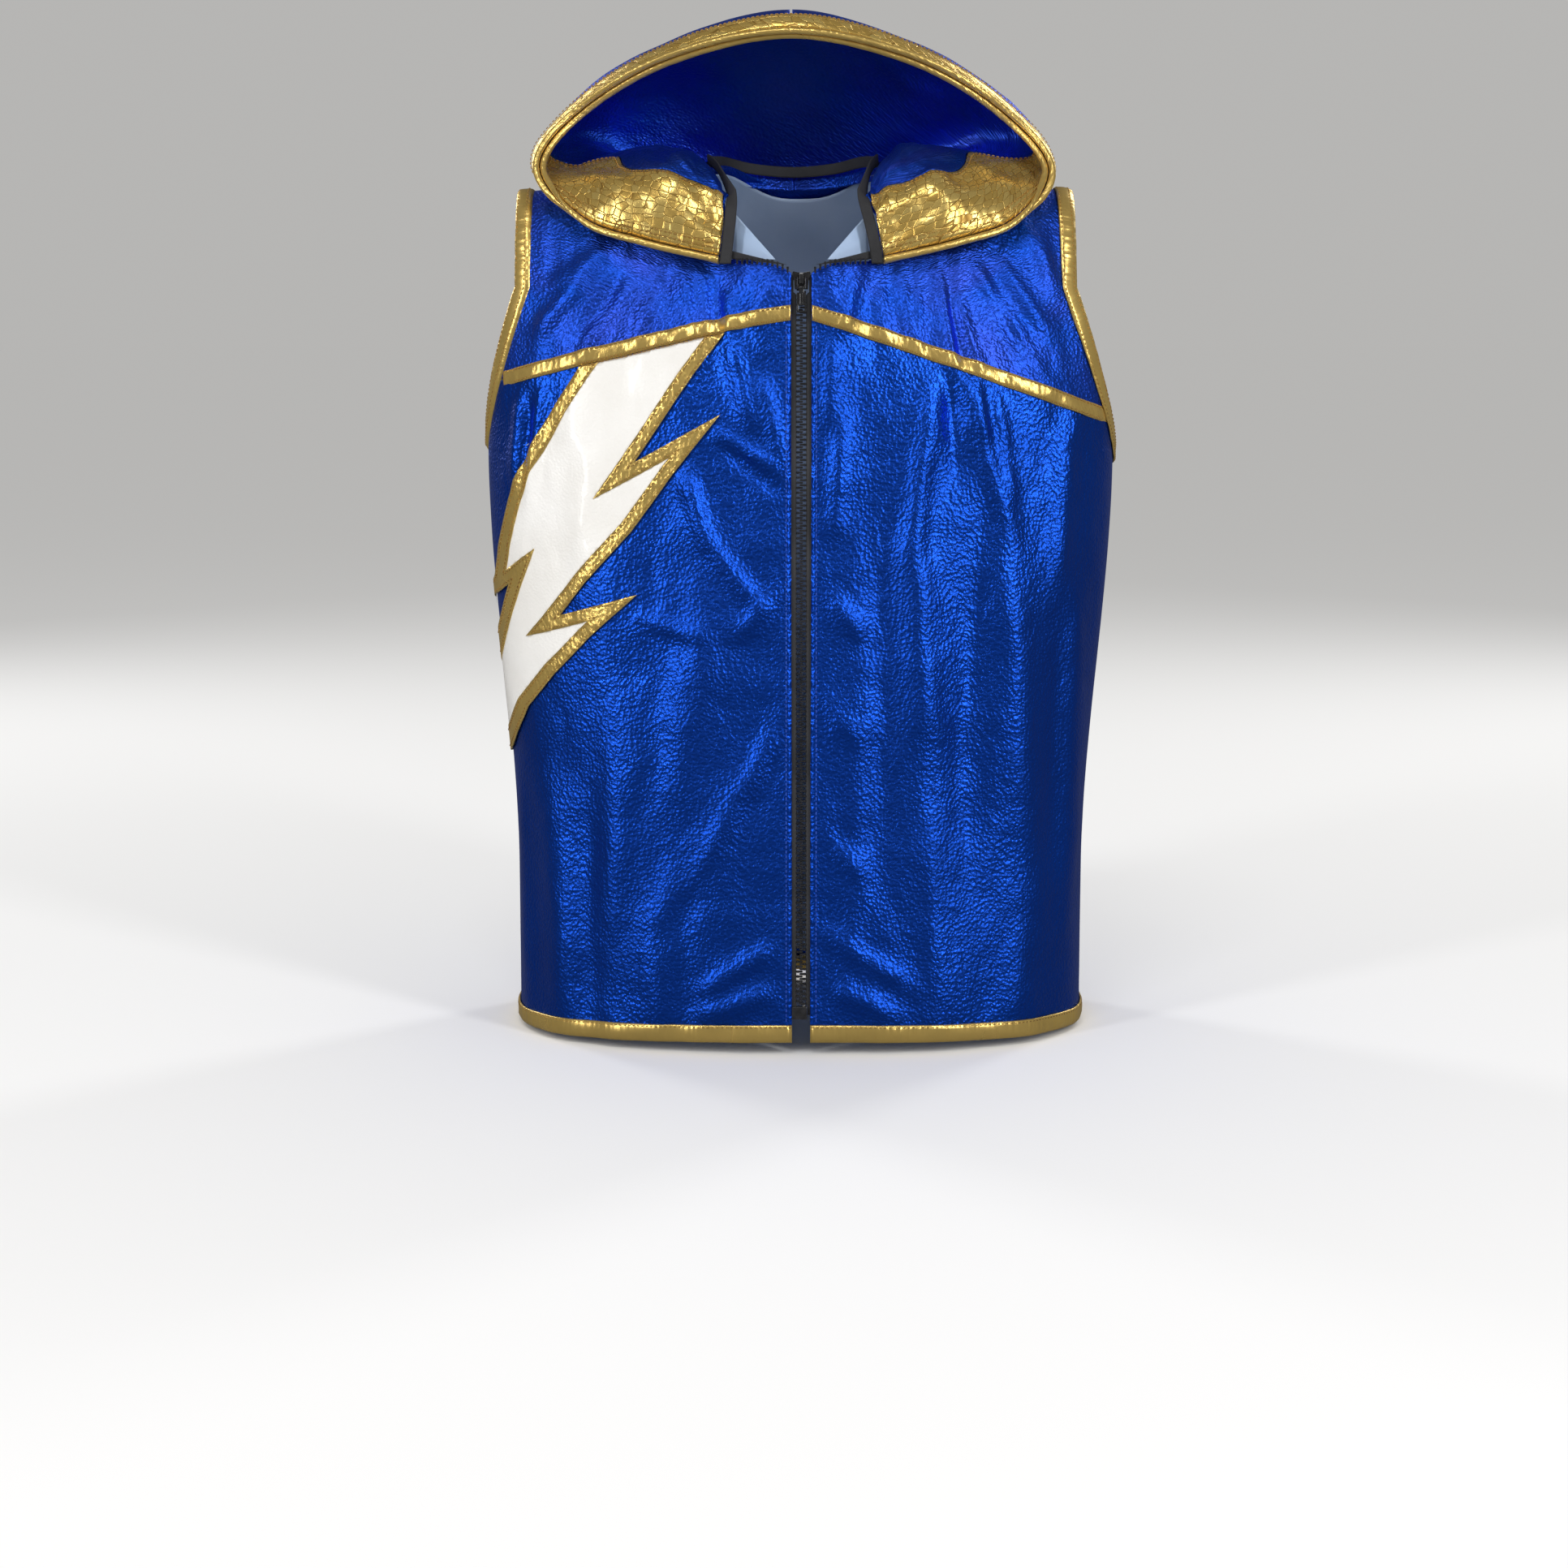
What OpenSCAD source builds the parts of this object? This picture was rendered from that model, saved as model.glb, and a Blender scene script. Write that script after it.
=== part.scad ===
// Hooded sleeveless zip vest, as worn: +Z up, front towards -Y, wearer's left towards +X.
// The origin is the middle of the neck opening, level with the two front corners of the neck.
// Every soft piece is a thin closed shell laid on one body surface or one hood surface.

/* [Body] */
// Half width at the chest
chest_half = 226; // [205:1:250]
// Half width at the waist and hem
waist_half = 207; // [185:1:235]
// Level of the underarm point below the neck
underarm_z = -135; // [-170:1:-115]
// Level of the hem at the zip
hem_z = -545; // [-660:1:-480]
// Extra drop of the hem at the side seams
hem_drop = 6; // [0:1:14]
// Depth from the side seams forward to the zip at neck level
front_depth = 96.4; // [85:0.1:115]
// Depth from the side seams back to the middle of the back
back_depth = 112; // [95:1:130]
// How far the front edge leans forward over its height, in degrees
zip_lean = 3.976; // [2:0.001:6]
// Distance of the side seams behind the origin
side_y = 5; // [0:1:12]
// Height of the shoulder seam at the neck
shoulder_z = 62; // [52:1:74]
// Fall of the shoulder seam from neck to arm
shoulder_fall = 14; // [6:1:24]
// Half width over the shoulders
shoulder_half = 193; // [178:1:210]

/* [Neck] */
// Half width between the front neck corners
corner_half = 56; // [48:1:64]
// Half width of the neck at the shoulder seams
neck_half = 67; // [60:1:75]
// Height of the back of the neck seam
nape_z = 54; // [46:1:62]

/* [Cloth] */
// Thickness of the foil cloth
cloth_t = 1.0; // [0.8:0.1:1.4]
// Thickness of the lining
lining_t = 0.8; // [0.6:0.1:1.2]
// Gap left between two layers sewn flat on each other
layer_gap = 0.4; // [0.3:0.1:0.8]
// Gap between the cloth and the lining that hangs behind it
lining_gap = 1.6; // [1.2:0.1:2.5]
// Gap between the cloth and the gold trim round its edges
trim_gap = 1.6; // [1.5:0.1:2]
// Distance that the lining stops short of bound edges
lining_short = 14; // [12:1:20]

/* [Trim] */
// Visible width of the gold binding and bands
band_w = 11; // [8:0.5:14]
// Thickness of one layer of gold trim
band_t = 1.0; // [0.8:0.1:1.4]
// Level of the chest band at the zip
band_z = -38; // [-60:1:-30]
// Level of the chest band at the right armhole
band_end_right = -85; // [-100:1:-70]
// Level of the chest band at the left armhole
band_end_left = -112; // [-122:1:-90]
// Gold border around the bolt
bolt_border_w = 9; // [6:0.5:12]

/* [Hood] */
// Width of the gold facing inside the hood
facing_w = 45; // [36:1:55]
// Width of the gold band outside the hood
hood_band_w = 14; // [10:1:20]
// Radius of one roll of the edge piping
piping_r = 2.4; // [1.8:0.1:3]
// Sideways lean of the standing hood
hood_lean = -7; // [-12:1:12]

/* [Zip] */
// Distance from one tooth to the next on a row
tooth_pitch = 3.5; // [3:0.1:4.2]
// Reach of one tooth across the chain
tooth_reach = 4.1; // [3.7:0.1:4.5]
// How far a tooth passes the middle of the chain
tooth_cross = 1.1; // [0.8:0.1:1.3]
// Thickness of the teeth
tooth_t = 2.4; // [2:0.1:2.8]
// Half the gap between the front edges, filled by the chain and its tapes
edge_half = 7; // [6.5:0.1:8]
// Outer limit of each tape
tape_half = 16; // [15:0.5:18]
// Thickness of the tape
tape_t = 0.8; // [0.6:0.1:1]
// Level of the lowest tooth
zip_bottom = -521; // [-640:1:-460]
// Level of the slider's top when closed
slider_top = -10; // [-16:1:-9]
// Length of the slider
slider_l = 12; // [11:0.5:14]
// Room between the slider and what runs in it
slider_gap = 0.4; // [0.3:0.05:0.6]
// Length of the pull tab
tab_l = 17; // [14:1:26]

/* [Hidden] */
$fn = 32;

plan_power = 2.5;      // roundness of the body in plan
shoulder_power = 2.3;  // roundness of the shoulder in side view
chest_level = -140;    // the body curves in towards the shoulder above this level
waist_level = -440;    // the body has its waist width below this level
armhole_bend_z = -20;  // the armhole's edge runs straight up above this level
nape_rise = 36;        // extra height of the back surface at the middle of the neck
neck_waist = 7;        // how far the front neck seam draws in above the corner
neck_tape_w = 8;       // width of the black neck tape
tape_below = 0.12;     // share of the hood's corner edge that the neck tape reaches below it
tape_front = 3;        // distance of the neck tape in front of the hood's corner edge
tape_inset = 7;        // distance of the neck tape inside the neck seam behind the corners
tape_rise = 1.5;       // height of the neck tape's middle above the hood's neck seam
lapel_in = 18;         // inner end of the folded neck corner
lapel_out = 47;        // outer end of the folded neck corner
lapel_top = 30;        // level of the top of the folded neck corner
fold_under = 3.4;      // depth of the binding's inner half below the body surface
open_start = 9.5;      // place of the first open tooth beside the slider
fold_out = 2.2;        // distance of the folded tapes in front of the body surface
seam_gap = 0.3;        // half the gap between two pieces at a seam
band_clear = 7;        // distance of the chest bands' ends from the armhole bindings
side_steps = 16;       // grid steps across a front piece
rise_steps = 16;       // grid steps up a front piece
ring_steps = 28;       // rings along half an armhole
hood_rows = 18;        // rows over half the hood, from the neck corner to the top
facing_steps = 3;      // columns over the hood's facing
inner_steps = 8;       // columns from the facing to the neck seam
hood_layer = 1.0;      // half the gap between the hood's two cloths
top_seam = 0.003;      // share of the half hood left open at its top seam
gold = "goldenrod";
foil = "mediumblue";
lining_blue = "lightsteelblue";

// ---------- helpers ----------
function mix(a, b, t) = a + (b - a) * t;
function ease(t) = let (c = min(1, max(0, t))) c * c * (3 - 2 * c);
function unit(v) = v / norm(v);
function mirrored(p, side) = [side * p[0], p[1], p[2]];
function grid(rows, cols) = [for (i = [0:rows]) [for (j = [0:cols]) [i / rows, j / cols]]];

// One closed solid from two grids of points of the same size; flip turns its faces round.
module shell(outer, inner, flip = false) {
  rows = len(outer);
  cols = len(outer[0]);
  count = rows * cols;
  points = concat([for (r = outer) for (p = r) p], [for (r = inner) for (p = r) p]);
  function id(i, j, layer) = layer * count + i * cols + j;
  function quad(a, b, c, d) = flip ? [[b, c, d], [a, b, d]] : [[d, c, b], [d, b, a]];
  faces = [
    for (i = [0:rows - 2]) for (j = [0:cols - 2])
      for (t = quad(id(i, j, 0), id(i, j + 1, 0), id(i + 1, j + 1, 0), id(i + 1, j, 0))) t,
    for (i = [0:rows - 2]) for (j = [0:cols - 2])
      for (t = quad(id(i, j, 1), id(i + 1, j, 1), id(i + 1, j + 1, 1), id(i, j + 1, 1))) t,
    for (i = [0:rows - 2])
      for (t = quad(id(i, 0, 0), id(i + 1, 0, 0), id(i + 1, 0, 1), id(i, 0, 1))) t,
    for (i = [0:rows - 2])
      let (a = id(i, cols - 1, 0), b = id(i, cols - 1, 1))
        for (t = quad(a, b, b + cols, a + cols)) t,
    for (j = [0:cols - 2])
      for (t = quad(id(0, j, 0), id(0, j, 1), id(0, j + 1, 1), id(0, j + 1, 0))) t,
    for (j = [0:cols - 2])
      let (a = id(rows - 1, j, 0), b = id(rows - 1, j, 1))
        for (t = quad(a, a + 1, b + 1, b)) t
  ];
  polyhedron(points, faces, convexity = 6);
}

// A section swept along rings; each ring lists the same number of points.
module swept(rings, closed = false, flip = false) {
  n = len(rings[0]);
  m = len(rings);
  points = [for (r = rings) for (p = r) p];
  function quad(a, b, c, d) = flip ? [[d, c, b], [d, b, a]] : [[a, b, c], [a, c, d]];
  last = closed ? m - 1 : m - 2;
  sides = [
    for (i = [0:last]) for (j = [0:n - 1])
      let (k = (i + 1) % m, l = (j + 1) % n)
        for (t = quad(i * n + j, i * n + l, k * n + l, k * n + j)) t
  ];
  ends = closed ? [] : [
    flip ? [for (j = [0:n - 1]) j] : [for (j = [n - 1:-1:0]) j],
    flip ? [for (j = [n - 1:-1:0]) (m - 1) * n + j] : [for (j = [0:n - 1]) (m - 1) * n + j]
  ];
  polyhedron(points, concat(sides, ends), convexity = 8);
}

// ---------- the body surface ----------
function half_width(z) =
  waist_half + (chest_half - waist_half) * ease((z - waist_level) / (chest_level - waist_level));
function zip_y(z) = side_y - front_depth + z * tan(zip_lean);
function shoulder_level(x) =
  shoulder_z - shoulder_fall * max(0, abs(x) - neck_half) / (shoulder_half - neck_half);
// The back of the neck stands higher than the shoulder line between the neck's sides.
function crest_level(x, way) =
  shoulder_level(x) + (way > 0 ? nape_rise * max(0, 1 - pow(x / neck_half, 2)) : 0);
function plan_at(share) = pow(max(0, 1 - pow(min(1, share), plan_power)), 1 / plan_power);
function cap_at(rise) = pow(max(0, 1 - pow(min(1, rise), shoulder_power)), 1 / shoulder_power);

// Point at share s of the half width and height h, in front (way -1) or behind (way 1).
// h is millimetres from chest_level below it, and an angle from 0 to 90 degrees above it.
function body_point(s, h, way, lift) =
  let (
    x = (half_width(chest_level + min(0, h)) + lift) * s,
    rise = sin(max(0, h)),
    z = h < 0 ? chest_level + h : chest_level + (crest_level(x, way) + lift - chest_level) * rise,
    hold = way < 0 ? ease((abs(x) - tape_half) / (neck_half - tape_half)) : 1,
    depth = way < 0 ? side_y - zip_y(z) : back_depth
  )
  [x, side_y + way * (depth + lift) * plan_at(s) * (1 + (cap_at(rise) - 1) * hold), z];

// Outward direction of the body surface at the same place.
function body_normal(s, h, way) =
  let (
    rise = sin(max(0, h)),
    plan = plan_at(s),
    cap = cap_at(rise),
    depth = way < 0 ? front_depth : back_depth
  )
  unit([
    pow(s, plan_power - 1) / chest_half * pow(cap, shoulder_power),
    way * pow(plan, plan_power - 1) * pow(cap, shoulder_power - 1) / depth,
    pow(plan, plan_power) * pow(rise, shoulder_power - 1) / (shoulder_z - chest_level)
  ]);

// The height value h that gives level z at place x.
function height_at(x, z, way = -1) =
  z < chest_level ? z - chest_level
  : asin(min(1, (z - chest_level) / (crest_level(x, way) - chest_level)));
function share_at(x, z) = min(1, abs(x) / half_width(min(z, chest_level)));
function on_front(x, z, lift = 0) = body_point(share_at(x, z), height_at(x, z), -1, lift);

// The armhole's edge, t from 0 at the underarm to 1 at the shoulder.
function armhole_z(t) = mix(underarm_z, shoulder_level(shoulder_half), (1 - cos(180 * t)) / 2);
function armhole_t(z) =
  acos(1 - 2 * (z - underarm_z) / (shoulder_level(shoulder_half) - underarm_z)) / 180;
function armhole_x_at(z) =
  let (rise = min(1, max(0, (z - underarm_z) / (armhole_bend_z - underarm_z))))
    mix(chest_half, shoulder_half, pow(rise, 1.25));
function armhole_place(t, way = -1) =
  let (z = armhole_z(t), x = armhole_x_at(z)) [min(1, share_at(x, z)), height_at(x, z, way)];

// The neck seam on the front, t from 0 at the corner to 1 at the shoulder seam.
function neck_x(t) = mix(corner_half, neck_half, t) - neck_waist * sin(180 * min(1, t * 1.15));
function neck_z(t) = mix(collar_z(1), shoulder_z, sin(90 * t));
// Front neckline from the zip out to the corner, t from 0 to 1.
function collar_x(t) = mix(edge_half, corner_half, t);
function collar_z(t) = -3 - 8 * pow(1 - t, 5);

// Level of the chest band's middle at distance x from the zip's middle.
function band_end(side) = side > 0 ? band_end_left : band_end_right;
function band_bow(side) = side > 0 ? 1.04 : 1.15;
function band_reach(side) = armhole_x_at(band_end(side));
function band_level(x, side) =
  mix(band_z, band_end(side),
    pow(max(0, (abs(x) - edge_half) / (band_reach(side) - edge_half)), band_bow(side)));

// ---------- panels ----------
// Inner edge of the yoke: up the zip, along the neckline, then up the neck seam.
function yoke_inner(v) =
  v < 0.3 ? [edge_half, mix(band_z + seam_gap, collar_z(0), v / 0.3)]
  : v < 0.6 ? [collar_x((v - 0.3) / 0.3), collar_z((v - 0.3) / 0.3)]
  : [neck_x((v - 0.6) / 0.4), neck_z((v - 0.6) / 0.4)];
function domain(p) = [share_at(p[0], p[1]), height_at(p[0], p[1])];
function yoke_place(u, v, side) =
  let (
    a = domain(yoke_inner(v)),
    b = armhole_place(mix(armhole_t(band_end(side) + seam_gap), 1, v)),
    a0 = domain(yoke_inner(0)),
    b0 = armhole_place(armhole_t(band_end(side) + seam_gap)),
    x0 = mix(a0[0], b0[0], u) * chest_half,
    fix = height_at(x0, band_level(x0, side) + seam_gap) - mix(a0[1], b0[1], u)
  )
  mix(a, b, u) + [0, fix * pow(1 - v, 2)];
function yoke_grid(side, lift, short = 0) = [
  for (r = grid(rise_steps, side_steps))
    [for (q = r)
      let (p = yoke_place(mix(short / 200, 1 - short / 200, q[1]), mix(0, 1 - short / 400, q[0]), side))
        mirrored(body_point(p[0], p[1], -1, lift), side)]
];

// Lower front: rows from the hem up to the band, columns from the zip to the side seam.
function hem_level(s) = hem_z - hem_drop * s * s;
side_split = 0.75; // share of the front's rows that lie below the underarm
function front_side(v, side) =
  v < side_split ? [1, mix(hem_level(1), underarm_z, v / side_split) - chest_level]
  : armhole_place(armhole_t(band_end(side) - seam_gap) * (v - side_split) / (1 - side_split));
function front_place(u, v, side) =
  let (
    inner = [edge_half / chest_half, height_at(edge_half, mix(hem_z, band_z - seam_gap, v))],
    outer = front_side(v, side),
    s = mix(inner[0], outer[0], sin(90 * u)),
    top = front_side(1, side),
    top_x = mix(inner[0], top[0], sin(90 * u)) * chest_half,
    top_fix = height_at(top_x, band_level(top_x, side) - seam_gap)
      - mix(height_at(edge_half, band_z - seam_gap), top[1], u),
    hem_fix = hem_level(s) - mix(hem_z, hem_level(1), u)
  )
  [s, mix(inner[1], outer[1], u) + top_fix * pow(v, 3) + hem_fix * pow(1 - v, 3)];
function front_grid(side, lift, short = 0) = [
  for (r = grid(rise_steps, side_steps))
    [for (q = r)
      let (
        u = mix(short / (chest_half * 1.4), 1, q[1]),
        v = mix(short / (band_z - hem_z), 1, q[0]),
        p = front_place(u, v, side)
      ) mirrored(body_point(p[0], p[1], -1, lift), side)]
];

// Back: one piece from the hem to the neck and shoulders, side seam to side seam.
back_split = 0.4; // share of the back's rows that lie below the underarm
side_share = 0.0036; // share of the half back that one millimetre at the side seam takes
foot_share = back_split / (underarm_z - hem_z);
top_share = 0.0021; // share of the back's height that one millimetre at the shoulder takes
function nape_h() = height_at(0, nape_z, 1);
function back_top_h(x) = abs(x) < neck_half ? mix(nape_h(), 90, pow(abs(x) / neck_half, 2.5)) : 90;
function back_place(u, v) =
  let (
    t = max(0, (v - back_split) / (1 - back_split)),
    edge = v < back_split ? [1, 0] : armhole_place(t, 1),
    s = edge[0] * sin(90 * u),
    low_z = mix(hem_level(s), underarm_z, min(1, v / back_split)),
    inner_h = mix(height_at(0, underarm_z, 1), back_top_h(s * chest_half), t),
    h = v < back_split ? height_at(s * chest_half, low_z, 1) : mix(inner_h, edge[1], u * u)
  )
  [s, h];
function back_grid(lift, short = 0) = [
  for (r = grid(rise_steps + 2, 2 * side_steps))
    [for (q = r)
      let (
        reach = 1 - short * side_share,
        u = max(-reach, min(reach, 2 * q[1] - 1)),
        v = max(short * foot_share, min(1 - short * top_share, q[0])),
        p = back_place(abs(u), v),
        armhole = min(1, max(0, (v - back_split) * 10)) * pow(abs(u), 8)
      ) mirrored(body_point(p[0] * (1 - short / chest_half * armhole), p[1], 1, lift), u < 0 ? -1 : 1)]
];

module front_panel(side) {
  color(foil) shell(front_grid(side, cloth_t), front_grid(side, 0), side < 0);
}
module yoke_front(side) {
  color(foil) shell(yoke_grid(side, cloth_t), yoke_grid(side, 0), side < 0);
}
module back_panel() {
  color(foil) shell(back_grid(cloth_t), back_grid(0), true);
}

// ---------- lining ----------
lining_out = -lining_gap; // outer face of the lining, measured from the body surface
lining_in = lining_out - lining_t;
module lining_front(side) {
  color(lining_blue) {
    shell(lining_grid(side, lining_out), lining_grid(side, lining_in), side < 0);
    lapel(side);
  }
}
// The lining of a front reaches from above the hem to the neck in one piece.
function lining_place(u, v, side) =
  let (
    top_z = mix(collar_z(0.5) - lining_short, armhole_z(0.55), u),
    z = mix(hem_z + lining_short, top_z, v),
    x_in = tape_half + 2,
    edge_x = z < underarm_z ? half_width(z) : armhole_x_at(z) - lining_short * ease((z - underarm_z) / 10),
    x = mix(x_in, edge_x, sin(90 * u))
  )
  [min(1, share_at(x, z)), height_at(x, z)];
function lining_grid(side, lift) = [
  for (r = grid(12, 10))
    [for (q = r) let (p = lining_place(q[1], q[0], side)) mirrored(body_point(p[0], p[1], -1, lift), side)]
];
// The corner of the neck that folds outwards and shows its lining.
module lapel(side) {
  behind = [0, 3, 1.5];
  low_in = on_front(lapel_in, collar_z(1), 0) + behind;
  low_out = on_front(lapel_out, collar_z(1), 0) + behind;
  high = on_front(lapel_out, lapel_top, 0) + behind;
  corner_plate(low_in, low_out, high, lining_t, side);
}
// A thin three-cornered plate, thick towards the back.
module corner_plate(a, b, c, thick, side) {
  back = [0, thick, 0];
  points = [for (p = [a, b, c, a + back, b + back, c + back]) mirrored(p, side)];
  faces = [[0, 1, 2], [5, 4, 3], [0, 3, 4, 1], [1, 4, 5, 2], [2, 5, 3, 0]];
  polyhedron(points, side < 0 ? faces : [for (f = faces) [for (i = [len(f) - 1:-1:0]) f[i]]]);
}
module lining_back() {
  color(lining_blue)
    shell(back_grid(lining_out, lining_short), back_grid(lining_in, lining_short), true);
}

// ---------- gold trim ----------
trim_in = cloth_t + trim_gap;
// Folded binding seen end on: first number inwards from the cloth's edge, second outwards.
function folded_section() = [
  [-band_t - trim_gap, trim_in + band_t], [band_w - band_t, trim_in + band_t],
  [band_w - band_t, trim_in], [-trim_gap, trim_in],
  [-trim_gap, -fold_under], [band_w - band_t, -fold_under],
  [band_w - band_t, -fold_under - band_t], [-band_t - trim_gap, -fold_under - band_t]
];
// A ring of the section at point p, for an edge that runs along and a surface that faces out.
function section_ring(p, along, out, section) =
  let (inward = unit(cross(out, along)), up = unit(out))
    [for (q = section) p + inward * q[0] + up * q[1]];
function ring_along(path, normals, section, closed) =
  let (m = len(path))
  [for (i = [0:m - 1])
    let (
      a = path[closed ? (i + m - 1) % m : max(0, i - 1)],
      b = path[closed ? (i + 1) % m : min(m - 1, i + 1)]
    ) section_ring(path[i], b - a, normals[i], section)];

// The armhole's edge from the underarm up the front, over the shoulder and down the back.
function armhole_steps() = concat(
  [for (i = [0:ring_steps]) [i / ring_steps, -1]],
  [for (i = [ring_steps - 1:-1:1]) [i / ring_steps, 1]]);
module armhole_binding(side) {
  places = [for (q = armhole_steps()) let (p = armhole_place(q[0], q[1])) [p[0], p[1], q[1]]];
  path = [for (p = places) body_point(p[0], p[1], p[2], 0)];
  normals = [for (p = places) body_normal(p[0], p[1], p[2])];
  rings = ring_along(path, normals, folded_section(), true);
  color(gold) swept([for (r = rings) [for (p = r) mirrored(p, side)]], true, side < 0);
}

// The hem from the zip round the back to the zip again.
function hem_steps() = concat(
  [for (i = [0:side_steps]) [mix(edge_half / chest_half, 1, sin(90 * i / side_steps)), -1, 1]],
  [for (i = [1:side_steps]) [cos(90 * i / side_steps), 1, 1]],
  [for (i = [side_steps - 1:-1:0]) [cos(90 * i / side_steps), 1, -1]],
  [for (i = [side_steps - 1:-1:0]) [mix(edge_half / chest_half, 1, sin(90 * i / side_steps)), -1, -1]]);
module hem_binding() {
  steps = hem_steps();
  path = [for (q = steps) mirrored(body_point(q[0], hem_level(q[0]) - chest_level, q[1], 0), q[2])];
  normals = [for (q = steps) mirrored(body_normal(q[0], -1, q[1]), q[2])];
  color(gold) swept(ring_along(path, normals, folded_section(), false), false, false);
}

// A flat strip on the front from the zip to the armhole binding.
// Distance over the surface from the armhole's edge to the band at distance x.
function band_short(x, side) =
  norm(on_front(x, band_level(x, side)) - on_front(band_reach(side), band_end(side)));
function band_last(x, side) =
  band_short(x, side) < band_w + band_clear ? band_last(x - 0.5, side) : x;
module chest_band(side) {
  last = band_last(band_reach(side), side);
  xs = [for (i = [0:20]) mix(edge_half, last, i / 20)];
  path = [for (x = xs) on_front(x, band_level(x, side), 0)];
  normals = [for (x = xs) let (z = band_level(x, side)) body_normal(share_at(x, z), height_at(x, z), -1)];
  strip = [
    [-band_w / 2, trim_in + band_t], [band_w / 2, trim_in + band_t],
    [band_w / 2, trim_in], [-band_w / 2, trim_in]
  ];
  rings = ring_along(path, normals, strip, false);
  color(gold) swept([for (r = rings) [for (p = r) mirrored(p, side)]], false, side < 0);
}

// ---------- lightning bolt on the right front ----------
// Outline seen from the front: x is the distance from the zip towards the side, then the level.
function band_foot(x) = band_level(x, -1) - band_w / 2 - layer_gap;
function bolt_outline() = [
  [154, band_foot(154)], [171, -101], [197, -146], [206, -168], [214, -199], [219, -225],
  [chest_half + 4, -248], [206, -229], [chest_half + 4, -300], [chest_half + 4, -356], [211, -357],
  [192, -316], [173, -291], [149, -265], [114, -233], [169, -249], [151, -226], [118, -189],
  [89, -149], [56, -108], [116, -141], [101, -119], [75, -81], [53, band_foot(53)]
];
module bolt_skin(low, high) {
  function place(u, v) =
    let (z = mix(-372, -48, v), x = mix(48, half_width(z), sin(90 * u)))
      [min(1, share_at(x, z)), height_at(x, z)];
  function skin(lift) = [for (r = grid(16, 12))
    [for (q = r) let (p = place(q[1], q[0])) mirrored(body_point(p[0], p[1], -1, lift), -1)]];
  shell(skin(high), skin(low), true);
}
module bolt_prism() {
  rotate([90, 0, 0]) linear_extrude(height = front_depth * 2) mirror([1, 0]) children();
}
// The bolt without its border, which has none along the chest band: there it runs on behind the band.
function run_on(a, b) = 2 * a - b;
function tall_outline() =
  let (q = bolt_outline(), n = len(q) - 1)
    concat([run_on(q[0], q[1])], [for (i = [1:n - 1]) q[i]], [run_on(q[n], q[n - 1])]);
module bolt_inside(inset) {
  intersection() {
    polygon(bolt_outline());
    offset(delta = -inset) polygon(tall_outline());
  }
}
module bolt_panel() {
  color("white") intersection() {
    bolt_skin(trim_in, trim_in + band_t);
    bolt_prism() bolt_inside(bolt_border_w + seam_gap);
  }
}
module bolt_border() {
  color(gold) intersection() {
    bolt_skin(trim_in, trim_in + band_t);
    bolt_prism() difference() {
      polygon(bolt_outline());
      bolt_inside(bolt_border_w);
    }
  }
}

// ---------- hood ----------
// Control points of the hood's left half at seven stations from the neck corner to the top:
// the mouth's edge, two points that lead the cloth outwards and back, and the neck seam.
hood_net = [
  [[corner_half + 1, -79, 1], [55, -77, 16], [52, -71, 32], [50, -63, 44]],
  [[110, -72, 14], [104, -78, 43], [74, -40, 84], [60, -30, 62]],
  [[150, -57, 28], [140, -54, 62], [90, 20, 94], [neck_half, 0, shoulder_z + 7]],
  [[181, -26, 64], [196, 20, 66], [122, 52, 82], [neck_half, 26, shoulder_z + 7]],
  [[150, -6, 106], [190, 60, 118], [130, 112, 60], [55, 54, shoulder_z + 8]],
  [[86, -12, 142], [110, 60, 192], [92, 152, 10], [32, 74, nape_z + 12]],
  [[0, -16, 160], [0, 30, 238], [0, 176, -30], [0, 82, nape_z + 10]]
];
hood_stations = len(hood_net) - 1;
function net_at(i) =
  i < 0 ? 2 * hood_net[0] - hood_net[1]
  : i > hood_stations ? [for (p = hood_net[2 * hood_stations - i]) [-p[0], p[1], p[2]]]
  : hood_net[i];
function blend_net(a, b, c, d, t) = 0.5 * (2 * b + t * (c - a)
  + t * t * (2 * a - 5 * b + 4 * c - d) + t * t * t * (3 * b - a - 3 * c + d));
function net_row(t) =
  let (q = t * hood_stations, i = min(hood_stations - 1, floor(q)))
    blend_net(net_at(i - 1), net_at(i), net_at(i + 1), net_at(i + 2), q - i);
// Point of the hood: t from corner to top, s from the mouth's edge to the neck seam.
function hood_base(t, s) =
  let (r = net_row(t), k = 1 - s)
    k * k * k * r[0] + 3 * k * k * s * r[1] + 3 * k * s * s * r[2] + s * s * s * r[3];
function hood_out(t, s) =
  let (
    t0 = max(0, t - 0.01), t1 = min(1, t + 0.01), s0 = max(0, s - 0.01), s1 = min(1, s + 0.01)
  ) unit(cross(hood_base(t, s1) - hood_base(t, s0), hood_base(t1, s) - hood_base(t0, s)));
function leaned(p) = p + [hood_lean * ease(p[2] / 100), 0, 0];
function hood_point(t, s, lift, side) = leaned(mirrored(hood_base(t, s) + hood_out(t, s) * lift, side));
// Share of the way to the neck seam that a strip of width w along the mouth takes.
function strip_share(t, w) = let (r = net_row(t)) min(0.96, w / (3 * norm(r[1] - r[0])));
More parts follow.
